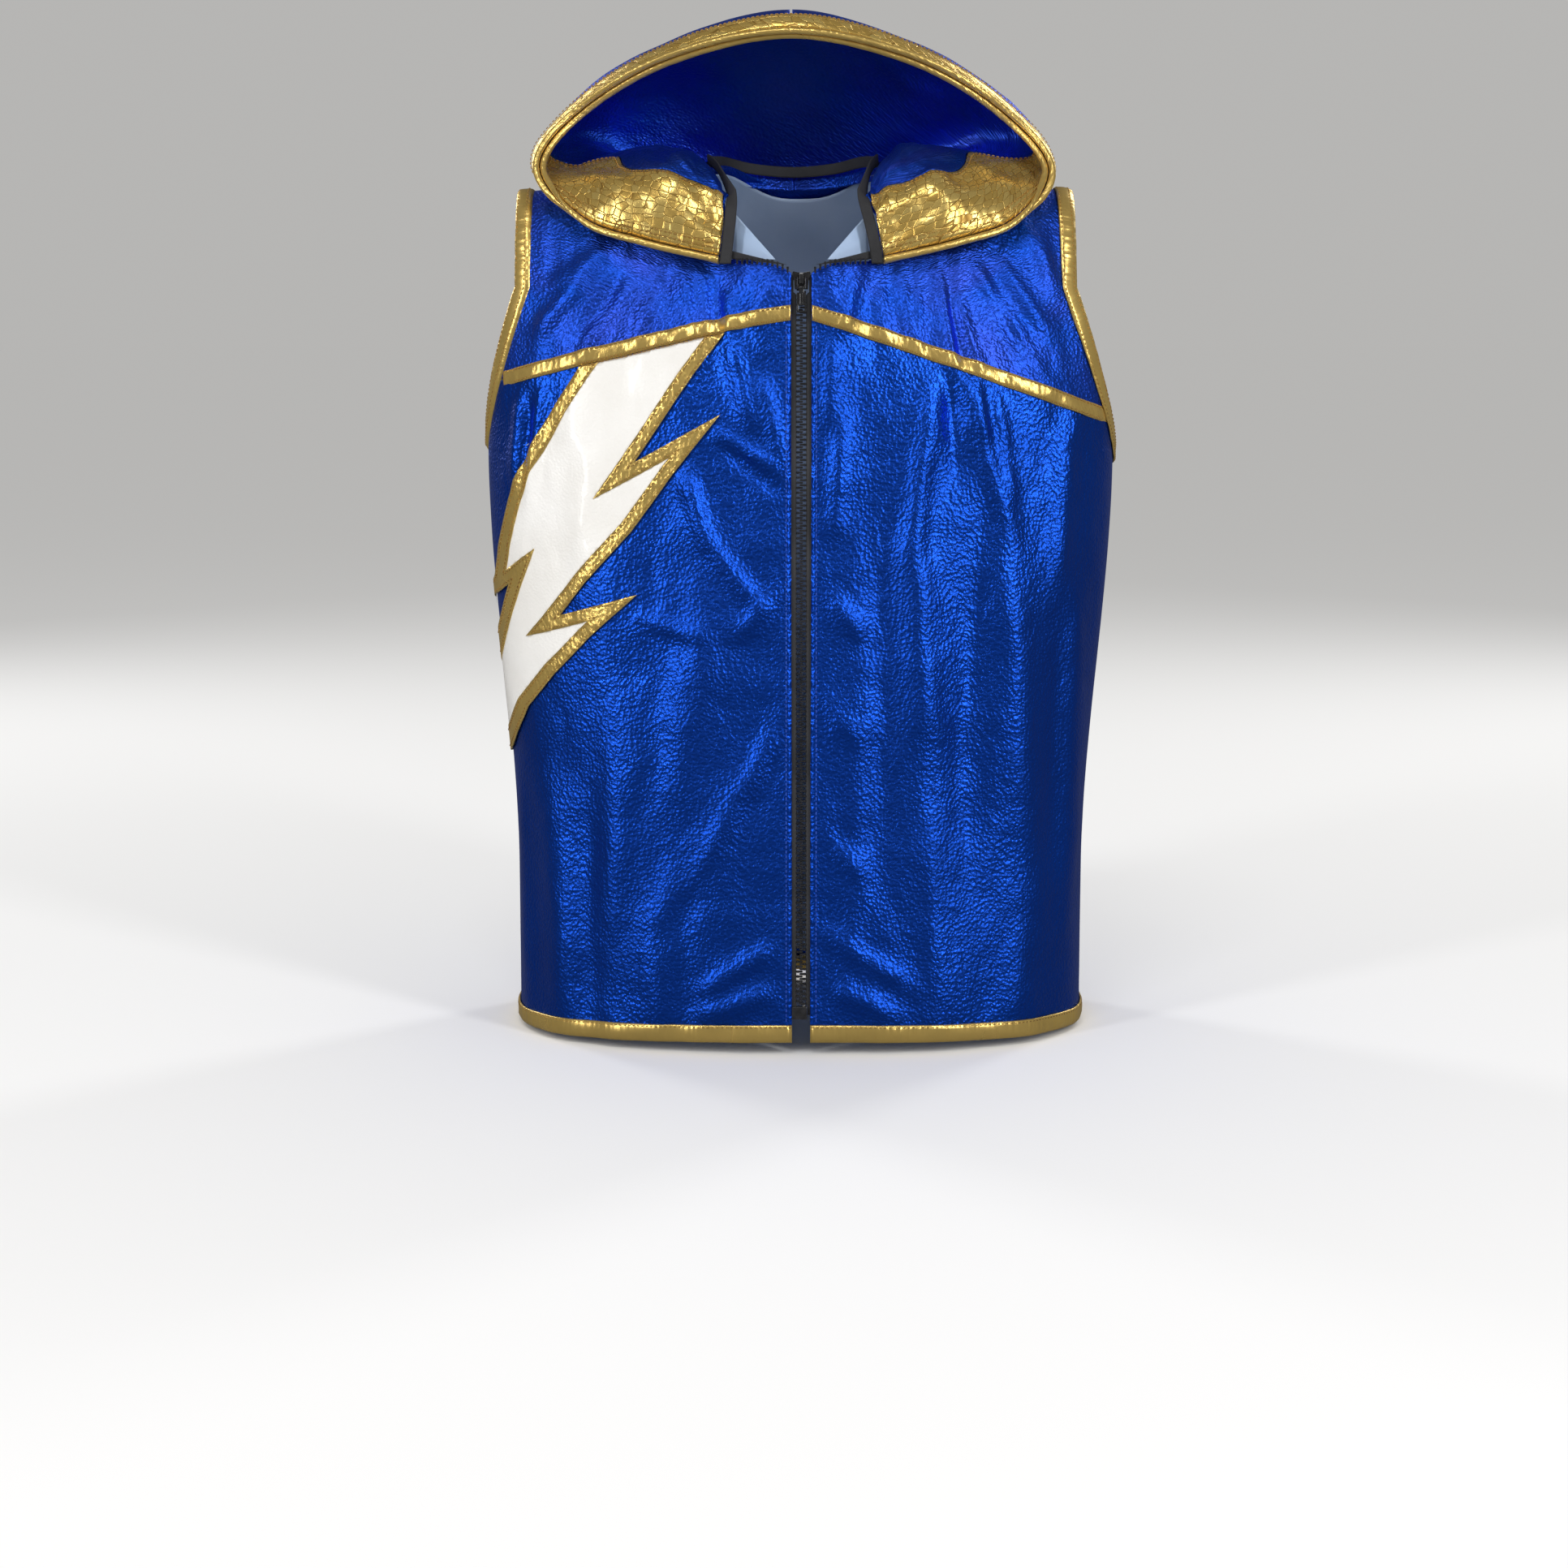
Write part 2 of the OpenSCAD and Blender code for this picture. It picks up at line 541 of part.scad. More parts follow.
// Shares across the hood: over the facing near the mouth, then on to the neck seam.
function facing_columns(t, w, steps = facing_steps) =
  let (end = strip_share(t, w)) [for (j = [0:steps]) end * j / steps];
function inner_columns(t, w) =
  let (start = strip_share(t, w)) [for (j = [0:inner_steps]) mix(start, 1, j / inner_steps)];
function half_hood(side, lift) = [
  for (i = side < 0 ? [0:hood_rows] : [hood_rows:-1:0])
    let (
      t = min(1 - top_seam, i / hood_rows),
      rest = inner_columns(t, facing_w)
    )
    [for (s = concat(facing_columns(t, facing_w), [for (j = [1:inner_steps]) rest[j]]))
      hood_point(t, s, lift, side)]
];
// Both halves in one strip: part 0 along the mouth, part 1 from there to the neck seam.
function whole_hood(lift, part, w, steps = facing_steps) = [
  for (i = [-hood_rows:hood_rows])
    let (t = 1 - abs(i) / hood_rows, side = i < 0 ? -1 : 1)
      [for (s = part == 0 ? facing_columns(t, w, steps) : inner_columns(t, w)) hood_point(t, s, lift, side)]
];
module hood_shell(side) {
  color(foil) shell(half_hood(side, hood_layer), half_hood(side, hood_layer + cloth_t));
}
module hood_lining() {
  w = facing_w + 2 * seam_gap;
  color(foil) shell(whole_hood(-hood_layer - cloth_t, 1, w), whole_hood(-hood_layer, 1, w));
}
module hood_facing() {
  color(gold) shell(whole_hood(-hood_layer - band_t, 0, facing_w), whole_hood(-hood_layer, 0, facing_w));
}
module hood_outer_band() {
  low = hood_layer + cloth_t + trim_gap;
  color(gold) shell(whole_hood(low, 0, hood_band_w, 1), whole_hood(low + band_t, 0, hood_band_w, 1));
}
// Two round rolls side by side along the mouth, from corner to corner.
module hood_edge_piping() {
  steps = 30;
  function edge_ring(i, out) =
    let (
      t = 1 - abs(i) / steps, side = i < 0 ? -1 : 1,
      across = hood_out(t, 0),
      away = unit(hood_base(t, 0) - hood_base(t, 0.04)),
      middle = hood_base(t, 0) + away * (piping_r + 2 * seam_gap) + across * out
    )
    [for (k = [0:7])
      leaned(mirrored(middle + piping_r * (across * cos(45 * k) + away * sin(45 * k)), side))];
  color(gold) for (out = [-1, 1])
    swept([for (i = [-steps:steps])
      edge_ring(i, out * (piping_r + seam_gap))], false, true);
}

// Black tape that covers the hood's neck seam from corner to corner round the back.
// It lies flat towards the front along the hood's corner edge, then stands upright round the back.
module neck_tape() {
  steps = 28;
  front_part = 0.4;
  half_t = 0.4;
  function seam(q) =
    q < front_part ? hood_base(0, mix(-tape_below, 1, q / front_part))
    : hood_base((q - front_part) / (1 - front_part), 1);
  function upright(q) = ease((q - front_part + 0.1) / 0.2);
  function place(q) =
    let (p = seam(q), inward = unit([-p[0], -p[1], 0]))
      p + mix([-neck_tape_w / 2 - 2 * layer_gap, -tape_front, 0],
        inward * tape_inset + [0, 0, tape_rise], upright(q));
  function ring(i) =
    let (
      q = 1 - abs(i) / steps,
      p = place(q),
      w = unit(mix([-1, 0, 0], [0, 0, 1], upright(q))) * neck_tape_w / 2,
      thick = unit(cross(w, place(min(1, q + 0.01)) - place(max(0, q - 0.01)))) * half_t
    )
    [for (c = [p - w - thick, p + w - thick, p + w + thick, p - w + thick])
      leaned(mirrored(c, i < 0 ? -1 : 1))];
  color("black") swept([for (i = [-steps:steps]) ring(i)], false, true);
}

// ---------- zip ----------
// Everything on the zip is drawn upright about the chain's middle and then leaned into place.
chain_y = cloth_t + tape_t + 0.8; // depth of the chain's middle behind the cloth's outer face
module on_zip() {
  translate([0, zip_y(0) + chain_y - cloth_t, 0]) rotate([-zip_lean, 0, 0]) children();
}
module block(x0, x1, y0, y1, z0, z1) {
  translate([x0, y0, z0]) cube([x1 - x0, y1 - y0, z1 - z0]);
}
slider_foot = slider_top - slider_l;
tooth_h = tooth_pitch / 2 - 0.15;
chain_top = slider_top - 3;
function tooth_count() = floor((chain_top - zip_bottom) / tooth_pitch);

// One tooth at level 0: a foot on the tape, a neck and a head that passes the middle.
module tooth(side) {
  outline = [
    [side * (tooth_reach - tooth_cross), -tooth_h / 2], [side * (tooth_reach - tooth_cross), tooth_h / 2],
    [-side * tooth_cross, tooth_h / 2], [-side * tooth_cross, -tooth_h / 2]
  ];
  rotate([90, 0, 0]) translate([0, 0, -tooth_t / 2]) linear_extrude(height = tooth_t) polygon(outline);
}
module zip_teeth(side) {
  shift = side > 0 ? 0 : tooth_pitch / 2;
  color("black") {
    on_zip() for (i = [0:tooth_count() - 1])
      translate([0, 0, zip_bottom + shift + i * tooth_pitch]) tooth(side);
    for (i = [0:open_teeth() - 1]) open_tooth(side, i);
  }
}
// Above the slider each row turns outwards along the folded neck corner.
function open_teeth() = floor((corner_half - neck_tape_w - open_start) / tooth_pitch);
module open_tooth(side, i) {
  x = open_start + i * tooth_pitch;
  t = (x - edge_half) / (corner_half - edge_half);
  p = on_front(x, collar_z(t), 0) + [0, -fold_out - tape_t - layer_gap - tooth_t / 2, -0.2];
  translate(mirrored(p, side)) block(-tooth_h / 2, tooth_h / 2, -tooth_t / 2, tooth_t / 2, -1.6, 2.2);
}

// A tape runs under the front edge; its top folds outwards above the open teeth.
module zip_tape(side) {
  inner = tooth_reach - tooth_cross + 0.05;
  color("dimgray") {
    on_zip() mirror([side < 0 ? 1 : 0, 0, 0]) {
      block(side > 0 ? box_right + layer_gap : inner, tape_half, -tape_t / 2, tape_t / 2,
        zip_bottom - tape_foot, zip_bottom - layer_gap);
      block(inner, tape_half, -tape_t / 2, tape_t / 2, zip_bottom - layer_gap, slider_foot - 2);
      block(slider_side, tape_half, -tape_t / 2, tape_t / 2, slider_foot - 2, -12);
    }
    tape_fold(side);
  }
}
module tape_fold(side) {
  raise = [0, -fold_out - tape_t, 2.4];
  a = on_front(open_start, collar_z(0.1), 0) + raise;
  b = on_front(corner_half - 4, collar_z(1), 0) + raise;
  c = b + [0, 0, 6];
  corner_plate(a, b, c, tape_t, side);
}
module zip_top_stops() {
  color("black") for (side = [-1, 1]) {
    p = on_front(corner_half - 2.6, collar_z(1), 0)
      + [0, -fold_out - tape_t - layer_gap - tooth_t / 2, 0];
    translate(mirrored(p, side)) block(-1.2, 1.2, -tooth_t / 2, tooth_t / 2, -1.8, 2.2);
  }
}
// Bottom of the zip: the box is fixed to the right tape and takes the pin of the left one.
box_top = zip_bottom - 2;
box_right = 4.2;
tape_foot = 8;
slider_side = 5.4; // inner edge of the tape beside the slider
module zip_retainer_box() {
  color("black") on_zip() difference() {
    block(-6.4, box_right, -2.6, 2.6, box_top - 9, box_top);
    block(pin_x - pin_half - slider_gap / 2, pin_x + pin_half + slider_gap / 2, -1.3, 1.3,
      box_top - 7.5, box_top + 1);
    block(-6.5, -2.95, -tape_t / 2 - 0.1, tape_t / 2 + 0.1, box_top - 9.5, box_top + 1);
  }
}
pin_x = 2;
pin_half = 0.9;
module zip_insertion_pin() {
  color("silver") on_zip()
    block(pin_x - pin_half, pin_x + pin_half, -1.1, 1.1, box_top - 7.2, box_top + 1.2);
}
module zip_end_patches() {
  color("black") on_zip() for (side = [-1, 1]) mirror([side < 0 ? 1 : 0, 0, 0]) for (y = [-1, 1])
    block(6.6, tape_half, y > 0 ? tape_t / 2 + 0.05 : -tape_t / 2 - 0.35,
      y > 0 ? tape_t / 2 + 0.35 : -tape_t / 2 - 0.05, zip_bottom - tape_foot, zip_bottom + 6);
}

// The slider: two plates joined by a post at the top, with rails that hold the rows together.
plate_in = tooth_t / 2 + slider_gap;
plate_out = plate_in + 1.3;
rail_x = tooth_reach - tooth_cross + slider_gap;
module slider_plate(way) {
  points = [
    [-rail_x - 1.2, 0], [rail_x + 1.2, 0], [rail_x + 1.6, slider_l * 0.45], [rail_x + 3, slider_l - 1.5],
    [rail_x + 2.2, slider_l], [1.2, slider_l - 0.8], [-1.2, slider_l - 0.8], [-rail_x - 2.2, slider_l],
    [-rail_x - 3, slider_l - 1.5], [-rail_x - 1.6, slider_l * 0.45]
  ];
  low = way < 0 ? plate_in : -plate_out;
  translate([0, 0, slider_foot]) rotate([90, 0, 0]) translate([0, 0, low])
    linear_extrude(height = plate_out - plate_in) polygon(points);
}
module zip_slider() {
  color("black") on_zip() {
    slider_plate(-1);
    slider_plate(1);
    block(-1.1, 1.1, -plate_in - 0.1, plate_in + 0.1, slider_top - 2.6, slider_top - 0.8);
    for (side = [-1, 1]) mirror([side < 0 ? 1 : 0, 0, 0]) for (y = [-plate_in - 0.1, 0.8])
      block(rail_x, rail_x + 1.1, y, y + plate_in - 0.7, slider_foot, slider_foot + slider_l * 0.45);
  }
}
// The arch on the front plate that the pull link turns in.
crown_z = slider_top - 5;
link_r = 0.6;
eye_r = link_r + 0.9;
crown_wall = 1.1;
crown_out = eye_r + slider_gap + 2 * link_r + crown_wall;
module slider_crown() {
  color("black") on_zip() difference() {
    block(-1.3, 1.3, -plate_out - crown_out, -plate_out, crown_z - 3.6, crown_z + 3.6);
    block(-1.4, 1.4, -plate_out - crown_out + crown_wall, -plate_out + 0.1, crown_z - 2.4, crown_z + 2.4);
  }
}
// U-shaped link: a pin in the crown, two legs, and a lower bar that the tab hangs from.
link_y = -plate_out - eye_r - slider_gap;
link_l = 6.4;
link_half = 2.6;
module pull_link() {
  color("black") on_zip() translate([0, link_y, crown_z]) {
    rotate([0, 90, 0]) cylinder(r = link_r, h = 2 * link_half, center = true);
    translate([0, 0, -link_l]) rotate([0, 90, 0]) cylinder(r = link_r, h = 2 * link_half, center = true);
    for (x = [-link_half, link_half]) translate([x, 0, -link_l - link_r])
      cylinder(r = link_r, h = link_l + 2 * link_r);
  }
}
// Flat pull tab: an eye on the link's lower bar, a raised rib, a window and an end bar.
tab_half = 2.2;
tab_half_t = 1.1;
module pull_tab() {
  tab_top = crown_z - link_l;
  color("black") on_zip() translate([0, link_y, tab_top]) difference() {
    union() {
      rotate([0, 90, 0]) cylinder(r = eye_r, h = 2 * link_half - 2 * link_r - 0.6, center = true);
      block(-link_half + link_r + 0.3, link_half - link_r - 0.3, -tab_half_t, tab_half_t, -5, 0);
      block(-tab_half - 1, tab_half + 1, -tab_half_t, tab_half_t, -tab_l, -3.2);
      block(-0.7, 0.7, -tab_half_t - 0.5, tab_half_t, -tab_l + 6, -4);
    }
    rotate([0, 90, 0]) cylinder(r = link_r + slider_gap / 2, h = 10, center = true);
    block(-tab_half, tab_half, -5, 5, -tab_l + 1.4, -tab_l + 5);
  }
}

front_panel(1);  // front_panel_left
front_panel(-1);  // front_panel_right
yoke_front(1);  // yoke_front_left
yoke_front(-1);  // yoke_front_right
back_panel();
lining_front(1);  // lining_front_left
lining_front(-1);  // lining_front_right
lining_back();
bolt_panel();
bolt_border();
chest_band(1);  // chest_band_left
chest_band(-1);  // chest_band_right
armhole_binding(1);  // armhole_binding_left
armhole_binding(-1);  // armhole_binding_right
hem_binding();
hood_shell(1);  // hood_shell_left
hood_shell(-1);  // hood_shell_right
hood_lining();
hood_facing();
hood_outer_band();
hood_edge_piping();
neck_tape();
zip_tape(1);  // zip_tape_left
zip_tape(-1);  // zip_tape_right
zip_teeth(1);  // zip_teeth_left
zip_teeth(-1);  // zip_teeth_right
zip_top_stops();
zip_retainer_box();
zip_insertion_pin();
zip_end_patches();
zip_slider();
slider_crown();
pull_link();
pull_tab();
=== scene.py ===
"""Hooded sleeveless zip vest: cloth, gold trim, hood and zip, modelled around the fixed frame of its working parts.

Everything is in metres. +Z is up, the front faces -Y, and the wearer's left is towards +X.
"""
import math

import bmesh
import bpy
from bpy.props import FloatProperty, FloatVectorProperty, IntProperty, PointerProperty
from mathutils import Matrix, Vector, noise


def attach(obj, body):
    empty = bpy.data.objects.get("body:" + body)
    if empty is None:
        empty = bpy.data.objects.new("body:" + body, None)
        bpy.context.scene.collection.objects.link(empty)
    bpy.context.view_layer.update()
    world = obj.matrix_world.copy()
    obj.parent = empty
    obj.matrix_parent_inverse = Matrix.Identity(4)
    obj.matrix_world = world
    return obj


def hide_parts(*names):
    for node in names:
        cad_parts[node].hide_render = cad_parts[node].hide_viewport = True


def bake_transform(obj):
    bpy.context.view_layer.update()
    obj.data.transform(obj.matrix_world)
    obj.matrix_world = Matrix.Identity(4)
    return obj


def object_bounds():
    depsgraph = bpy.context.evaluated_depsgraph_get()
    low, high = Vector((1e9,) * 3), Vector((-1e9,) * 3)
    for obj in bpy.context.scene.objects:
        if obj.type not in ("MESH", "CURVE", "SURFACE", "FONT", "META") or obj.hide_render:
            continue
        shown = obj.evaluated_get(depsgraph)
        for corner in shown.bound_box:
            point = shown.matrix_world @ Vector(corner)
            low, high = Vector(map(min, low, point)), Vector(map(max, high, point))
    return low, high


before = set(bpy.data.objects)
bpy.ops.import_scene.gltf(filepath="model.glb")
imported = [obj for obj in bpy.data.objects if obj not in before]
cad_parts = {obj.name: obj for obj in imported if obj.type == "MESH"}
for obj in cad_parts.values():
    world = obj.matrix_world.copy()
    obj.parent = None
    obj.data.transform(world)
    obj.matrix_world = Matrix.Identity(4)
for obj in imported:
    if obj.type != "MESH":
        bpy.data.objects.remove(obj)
FRAME_BOX = [list(corner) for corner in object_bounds()]

bl_info = {
    "name": "Hooded zip vest",
    "version": (1, 0, 0),
    "blender": (4, 5, 0),
    "location": "View3D > Sidebar > Vest",
    "description": "Builds a hooded sleeveless vest in foil cloth with gold trim and a separating zip",
    "category": "Add Mesh",
}

# ---------- the body surface, the same as the frame's ----------
CHEST_HALF = 0.226
WAIST_HALF = 0.207
UNDERARM_Z = -0.135
HEM_Z = -0.545
HEM_DROP = 0.006
FRONT_DEPTH = 0.0964
BACK_DEPTH = 0.112
ZIP_SLOPE = math.tan(math.radians(3.976))
ZIP_LEAN = math.radians(3.976)
SIDE_Y = 0.005
SHOULDER_Z = 0.062
SHOULDER_FALL = 0.014
SHOULDER_HALF = 0.193
CORNER_HALF = 0.056
NECK_HALF = 0.067
NAPE_Z = 0.054
NAPE_RISE = 0.036
NECK_WAIST = 0.007
PLAN_POWER = 2.5
SHOULDER_POWER = 2.3
CHEST_LEVEL = -0.140
WAIST_LEVEL = -0.440
ARMHOLE_BEND_Z = -0.020
TAPE_HALF = 0.016
EDGE_HALF = 0.007
BAND_W = 0.011
BAND_Z = -0.038
BAND_END = {1: -0.112, -1: -0.085}
BAND_BOW = {1: 1.04, -1: 1.15}
SEAM_GAP = 0.0003
SIDE_SPLIT = 0.75
BACK_SPLIT = 0.4

# ---------- the layers, outwards from the body surface ----------
CLOTH_T = 0.0008
LINING_T = 0.0006
LINING_OUT = -0.0024
BOLT_LIFT = 0.0016
BORDER_LIFT = 0.0022
CHAIN_IN = 0.0016      # the zip chain's middle behind the body surface

# ---------- the hood, the same as the frame's ----------
HOOD_LEAN = -0.007
HOOD_NET = [
    [(0.057, -0.079, 0.001), (0.055, -0.077, 0.016), (0.052, -0.071, 0.032), (0.050, -0.063, 0.044)],
    [(0.110, -0.072, 0.014), (0.104, -0.078, 0.043), (0.074, -0.040, 0.084), (0.060, -0.030, 0.062)],
    [(0.150, -0.057, 0.028), (0.140, -0.054, 0.062), (0.090, 0.020, 0.094), (0.067, 0.000, 0.069)],
    [(0.181, -0.026, 0.064), (0.196, 0.020, 0.066), (0.122, 0.052, 0.082), (0.067, 0.026, 0.069)],
    [(0.150, -0.006, 0.106), (0.190, 0.060, 0.118), (0.130, 0.112, 0.060), (0.055, 0.054, 0.070)],
    [(0.086, -0.012, 0.142), (0.110, 0.060, 0.192), (0.092, 0.152, 0.010), (0.032, 0.074, 0.066)],
    [(0.000, -0.016, 0.160), (0.000, 0.030, 0.238), (0.000, 0.176, -0.030), (0.000, 0.082, 0.064)],
]
FACING_W = 0.045
HOOD_BAND_W = 0.014
PIPING_R = 0.0024
HOOD_LAYER = 0.0010

# ---------- the zip, the same as the frame's ----------
TOOTH_PITCH = 0.0035
TOOTH_REACH = 0.0041
TOOTH_CROSS = 0.0011
TOOTH_T = 0.0024
ZIP_BOTTOM = -0.521
SLIDER_TOP = -0.010
SLIDER_L = 0.012
TAPE_T = 0.0008
OPEN_START = 0.0095
FOLD_OUT = 0.0022

# Folds of the front cloth: start x, z, end x, z, half width, height, in millimetres.
FRONT_FOLDS = [
    (36, -18, 28, -52, 5, 1.6), (70, -14, 78, -60, 4, 1.6), (81, -20, 83, -66, 3, 1.1),
    (96, -12, 107, -72, 4, 2.2), (110, -34, 126, -80, 4, 1.8), (103, -26, 112, -76, 4, -1.8),
    (124, -10, 156, -58, 5, 2.0), (140, -4, 172, -52, 5, 1.6), (133, -20, 158, -74, 5, -1.6),
    (54, -20, 58, -56, 6, 1.3), (160, 20, 184, -30, 7, 2.0), (150, -60, 182, -98, 7, 1.8),
    (-149, -12, -186, -52, 7, 2.6), (-128, 8, -176, -20, 7, 1.8), (-145, -48, -152, -70, 5, 1.6),
    (-106, -30, -118, -64, 6, 1.6), (-82, -12, -73, -56, 4, 2.0), (-69, -12, -66, -52, 4, 1.7),
    (-51, -26, -49, -52, 5, 1.7), (-18, -18, -36, -44, 9, 2.2), (-95, -10, -92, -60, 5, -1.6),
    (-124, -10, -150, -48, 6, -1.8), (-60, -14, -58, -50, 4, -1.2),
    (22, -56, 17, -112, 6, 2.2), (28, -118, 22, -190, 7, 2.0), (91, -92, 79, -196, 9, 3.2),
    (79, -196, 90, -345, 14, 3.4), (114, -84, 146, -190, 7, 2.6), (146, -190, 160, -420, 14, 3.2),
    (122, -82, 128, -124, 4, 1.8), (136, -94, 148, -168, 5, 1.6), (104, -90, 108, -150, 6, -2.0),
    (120, -200, 118, -430, 14, -2.4), (188, -120, 180, -230, 9, 2.4), (196, -240, 192, -470, 9, 2.2),
    (58, -210, 52, -420, 15, -1.8), (45, -300, 36, -500, 12, 1.8), (172, -430, 150, -535, 16, 1.8),
    (88, -380, 96, -535, 14, 2.2), (20, -508, 66, -528, 8, 2.0), (16, -470, 74, -506, 7, 1.6),
    (-48, -60, -36, -114, 8, 3.0), (-26, -86, -12, -140, 6, 2.4), (-199, -98, -201, -158, 5, 2.4),
    (-183, -96, -192, -170, 5, 2.2), (-191, -100, -196, -160, 4, -1.6), (-60, -120, -14, -148, 5, 1.6),
    (-52, -132, -12, -164, 5, -1.4), (-81, -150, -66, -196, 7, 3.0), (-66, -196, -30, -240, 7, 2.2),
    (-110, -250, -70, -262, 6, 1.6), (-60, -240, -92, -380, 16, 2.0), (-15, -326, -80, -448, 9, 3.4),
    (-22, -350, -92, -470, 9, -2.2), (-120, -320, -138, -470, 16, 2.4), (-176, -380, -168, -520, 13, 2.6),
    (-148, -380, -150, -530, 10, -1.6), (-98, -440, -106, -536, 14, 2.0), (-20, -510, -70, -530, 8, 2.2),
    (-16, -476, -66, -510, 7, 1.8), (-204, -380, -198, -520, 6, 1.8), (-12, -226, -44, -262, 7, 1.8),
    (14, -228, 44, -262, 7, 1.6), (12, -300, 40, -336, 7, 1.2), (12, -396, 42, -428, 7, 1.4),
]
# Folds of the back cloth in the same form.
BACK_FOLDS = [
    (-150, 20, -96, -70, 9, 2.2), (150, 20, 98, -68, 9, 2.2), (-60, 30, -30, -60, 8, 1.6),
    (58, 30, 34, -66, 8, 1.6), (-120, -80, -132, -420, 18, 3.0), (-62, -100, -56, -500, 17, 2.4),
    (4, -60, -4, -520, 16, 2.2), (66, -110, 72, -500, 17, 2.6), (130, -90, 140, -440, 18, 2.8),
    (-176, -160, -168, -500, 12, 2.2), (180, -170, 172, -500, 12, 2.2), (-92, -200, -88, -535, 12, -2.0),
    (32, -220, 30, -535, 12, -1.8), (102, -200, 106, -535, 12, -2.0), (-190, -60, -170, -120, 8, 2.0),
    (190, -60, 170, -120, 8, 2.0), (-30, -240, -28, -530, 11, -1.6),
]

# Outline of the lightning bolt: distance from the zip towards the side, then the level, in millimetres.
BOLT_POINTS = [
    (171, -101), (197, -146), (206, -168), (214, -199), (219, -225), (230, -248), (206, -229),
    (230, -300), (230, -356), (211, -357), (192, -316), (173, -291), (149, -265), (114, -233),
    (169, -249), (151, -226), (118, -189), (89, -149), (56, -108), (116, -141), (101, -119), (75, -81),
]


# ---------- plain helpers ----------
def mix(a, b, t):
    return a + (b - a) * t


def ease(t):
    c = min(1.0, max(0.0, t))
    return c * c * (3 - 2 * c)


def sind(a):
    return math.sin(math.radians(a))


def asind(v):
    return math.degrees(math.asin(max(-1.0, min(1.0, v))))


# ---------- the body surface ----------
def half_width(z):
    return mix(WAIST_HALF, CHEST_HALF, ease((z - WAIST_LEVEL) / (CHEST_LEVEL - WAIST_LEVEL)))


def zip_y(z):
    return SIDE_Y - FRONT_DEPTH + z * ZIP_SLOPE


def shoulder_level(x):
    return SHOULDER_Z - SHOULDER_FALL * max(0.0, abs(x) - NECK_HALF) / (SHOULDER_HALF - NECK_HALF)


def crest_level(x, way):
    rise = NAPE_RISE * max(0.0, 1 - (x / NECK_HALF) ** 2) if way > 0 else 0.0
    return shoulder_level(x) + rise


def plan_at(s):
    return max(0.0, 1 - min(1.0, s) ** PLAN_POWER) ** (1 / PLAN_POWER)


def cap_at(rise):
    return max(0.0, 1 - min(1.0, rise) ** SHOULDER_POWER) ** (1 / SHOULDER_POWER)


def body_point(s, h, way):
    """Share s of the half width; h is metres from the chest level below it, and degrees above it."""
    x = half_width(CHEST_LEVEL + min(0.0, h)) * s
    rise = sind(max(0.0, h))
    z = CHEST_LEVEL + h if h < 0 else CHEST_LEVEL + (crest_level(x, way) - CHEST_LEVEL) * rise
    hold = ease((x - TAPE_HALF) / (NECK_HALF - TAPE_HALF)) if way < 0 else 1.0
    depth = SIDE_Y - zip_y(z) if way < 0 else BACK_DEPTH
    return Vector((x, SIDE_Y + way * depth * plan_at(s) * (1 + (cap_at(rise) - 1) * hold), z))


def body_skin(s, h, way):
    """The surface point and its outward direction, on the +X half."""
    angle = asind(s)
    step = 0.5
    low = h - (step if h > 0 else 0.001)
    high = min(90.0, h + step) if h >= 0 else min(0.0, h + 0.001)
    across = body_point(sind(min(90, angle + step)), h, way) - body_point(sind(max(0, angle - step)), h, way)
    up = body_point(s, high, way) - body_point(s, low, way)
    out = across.cross(up) * -way
    return body_point(s, h, way), out.normalized()


def height_at(x, z, way=-1):
    if z < CHEST_LEVEL:
        return z - CHEST_LEVEL
    return asind(min(1.0, (z - CHEST_LEVEL) / (crest_level(x, way) - CHEST_LEVEL)))


def share_at(x, z):
    return min(1.0, abs(x) / half_width(min(z, CHEST_LEVEL)))


def armhole_z(t):
    return mix(UNDERARM_Z, shoulder_level(SHOULDER_HALF), (1 - math.cos(math.pi * t)) / 2)


def armhole_t(z):
    share = (z - UNDERARM_Z) / (shoulder_level(SHOULDER_HALF) - UNDERARM_Z)
    return math.acos(1 - 2 * share) / math.pi


def armhole_x_at(z):
    rise = min(1.0, max(0.0, (z - UNDERARM_Z) / (ARMHOLE_BEND_Z - UNDERARM_Z)))
    return mix(CHEST_HALF, SHOULDER_HALF, rise ** 1.25)


def armhole_place(t, way=-1):
    z = armhole_z(t)
    x = armhole_x_at(z)
    return share_at(x, z), height_at(x, z, way)


def collar_z(t):
    return -0.003 - 0.008 * (1 - t) ** 5


def neck_x(t):
    return mix(CORNER_HALF, NECK_HALF, t) - NECK_WAIST * sind(180 * min(1, t * 1.15))


def neck_z(t):
    return mix(collar_z(1), SHOULDER_Z, sind(90 * t))


def band_reach(side):
    return armhole_x_at(BAND_END[side])


def band_level(x, side):
    share = max(0.0, (abs(x) - EDGE_HALF) / (band_reach(side) - EDGE_HALF))
    return mix(BAND_Z, BAND_END[side], share ** BAND_BOW[side])


# ---------- folds ----------
def fold_sum(folds, x, z):
    """Height of all the folds at a place; each is a long soft ridge that fades at its ends."""
    total = 0.0
    for x0, z0, x1, z1, wide, high in folds:
        dx, dz = x1 - x0, z1 - z0
        length = dx * dx + dz * dz
        t = ((x - x0) * dx + (z - z0) * dz) / length
        if -0.3 < t < 1.3:
            off = abs((x - x0) * dz - (z - z0) * dx) / math.sqrt(length)
            if off < 3 * wide:
                end = ease((t + 0.25) / 0.5) * ease((1.25 - t) / 0.5)
                total += high * end * math.exp(-(off / wide) ** 2)
    return total


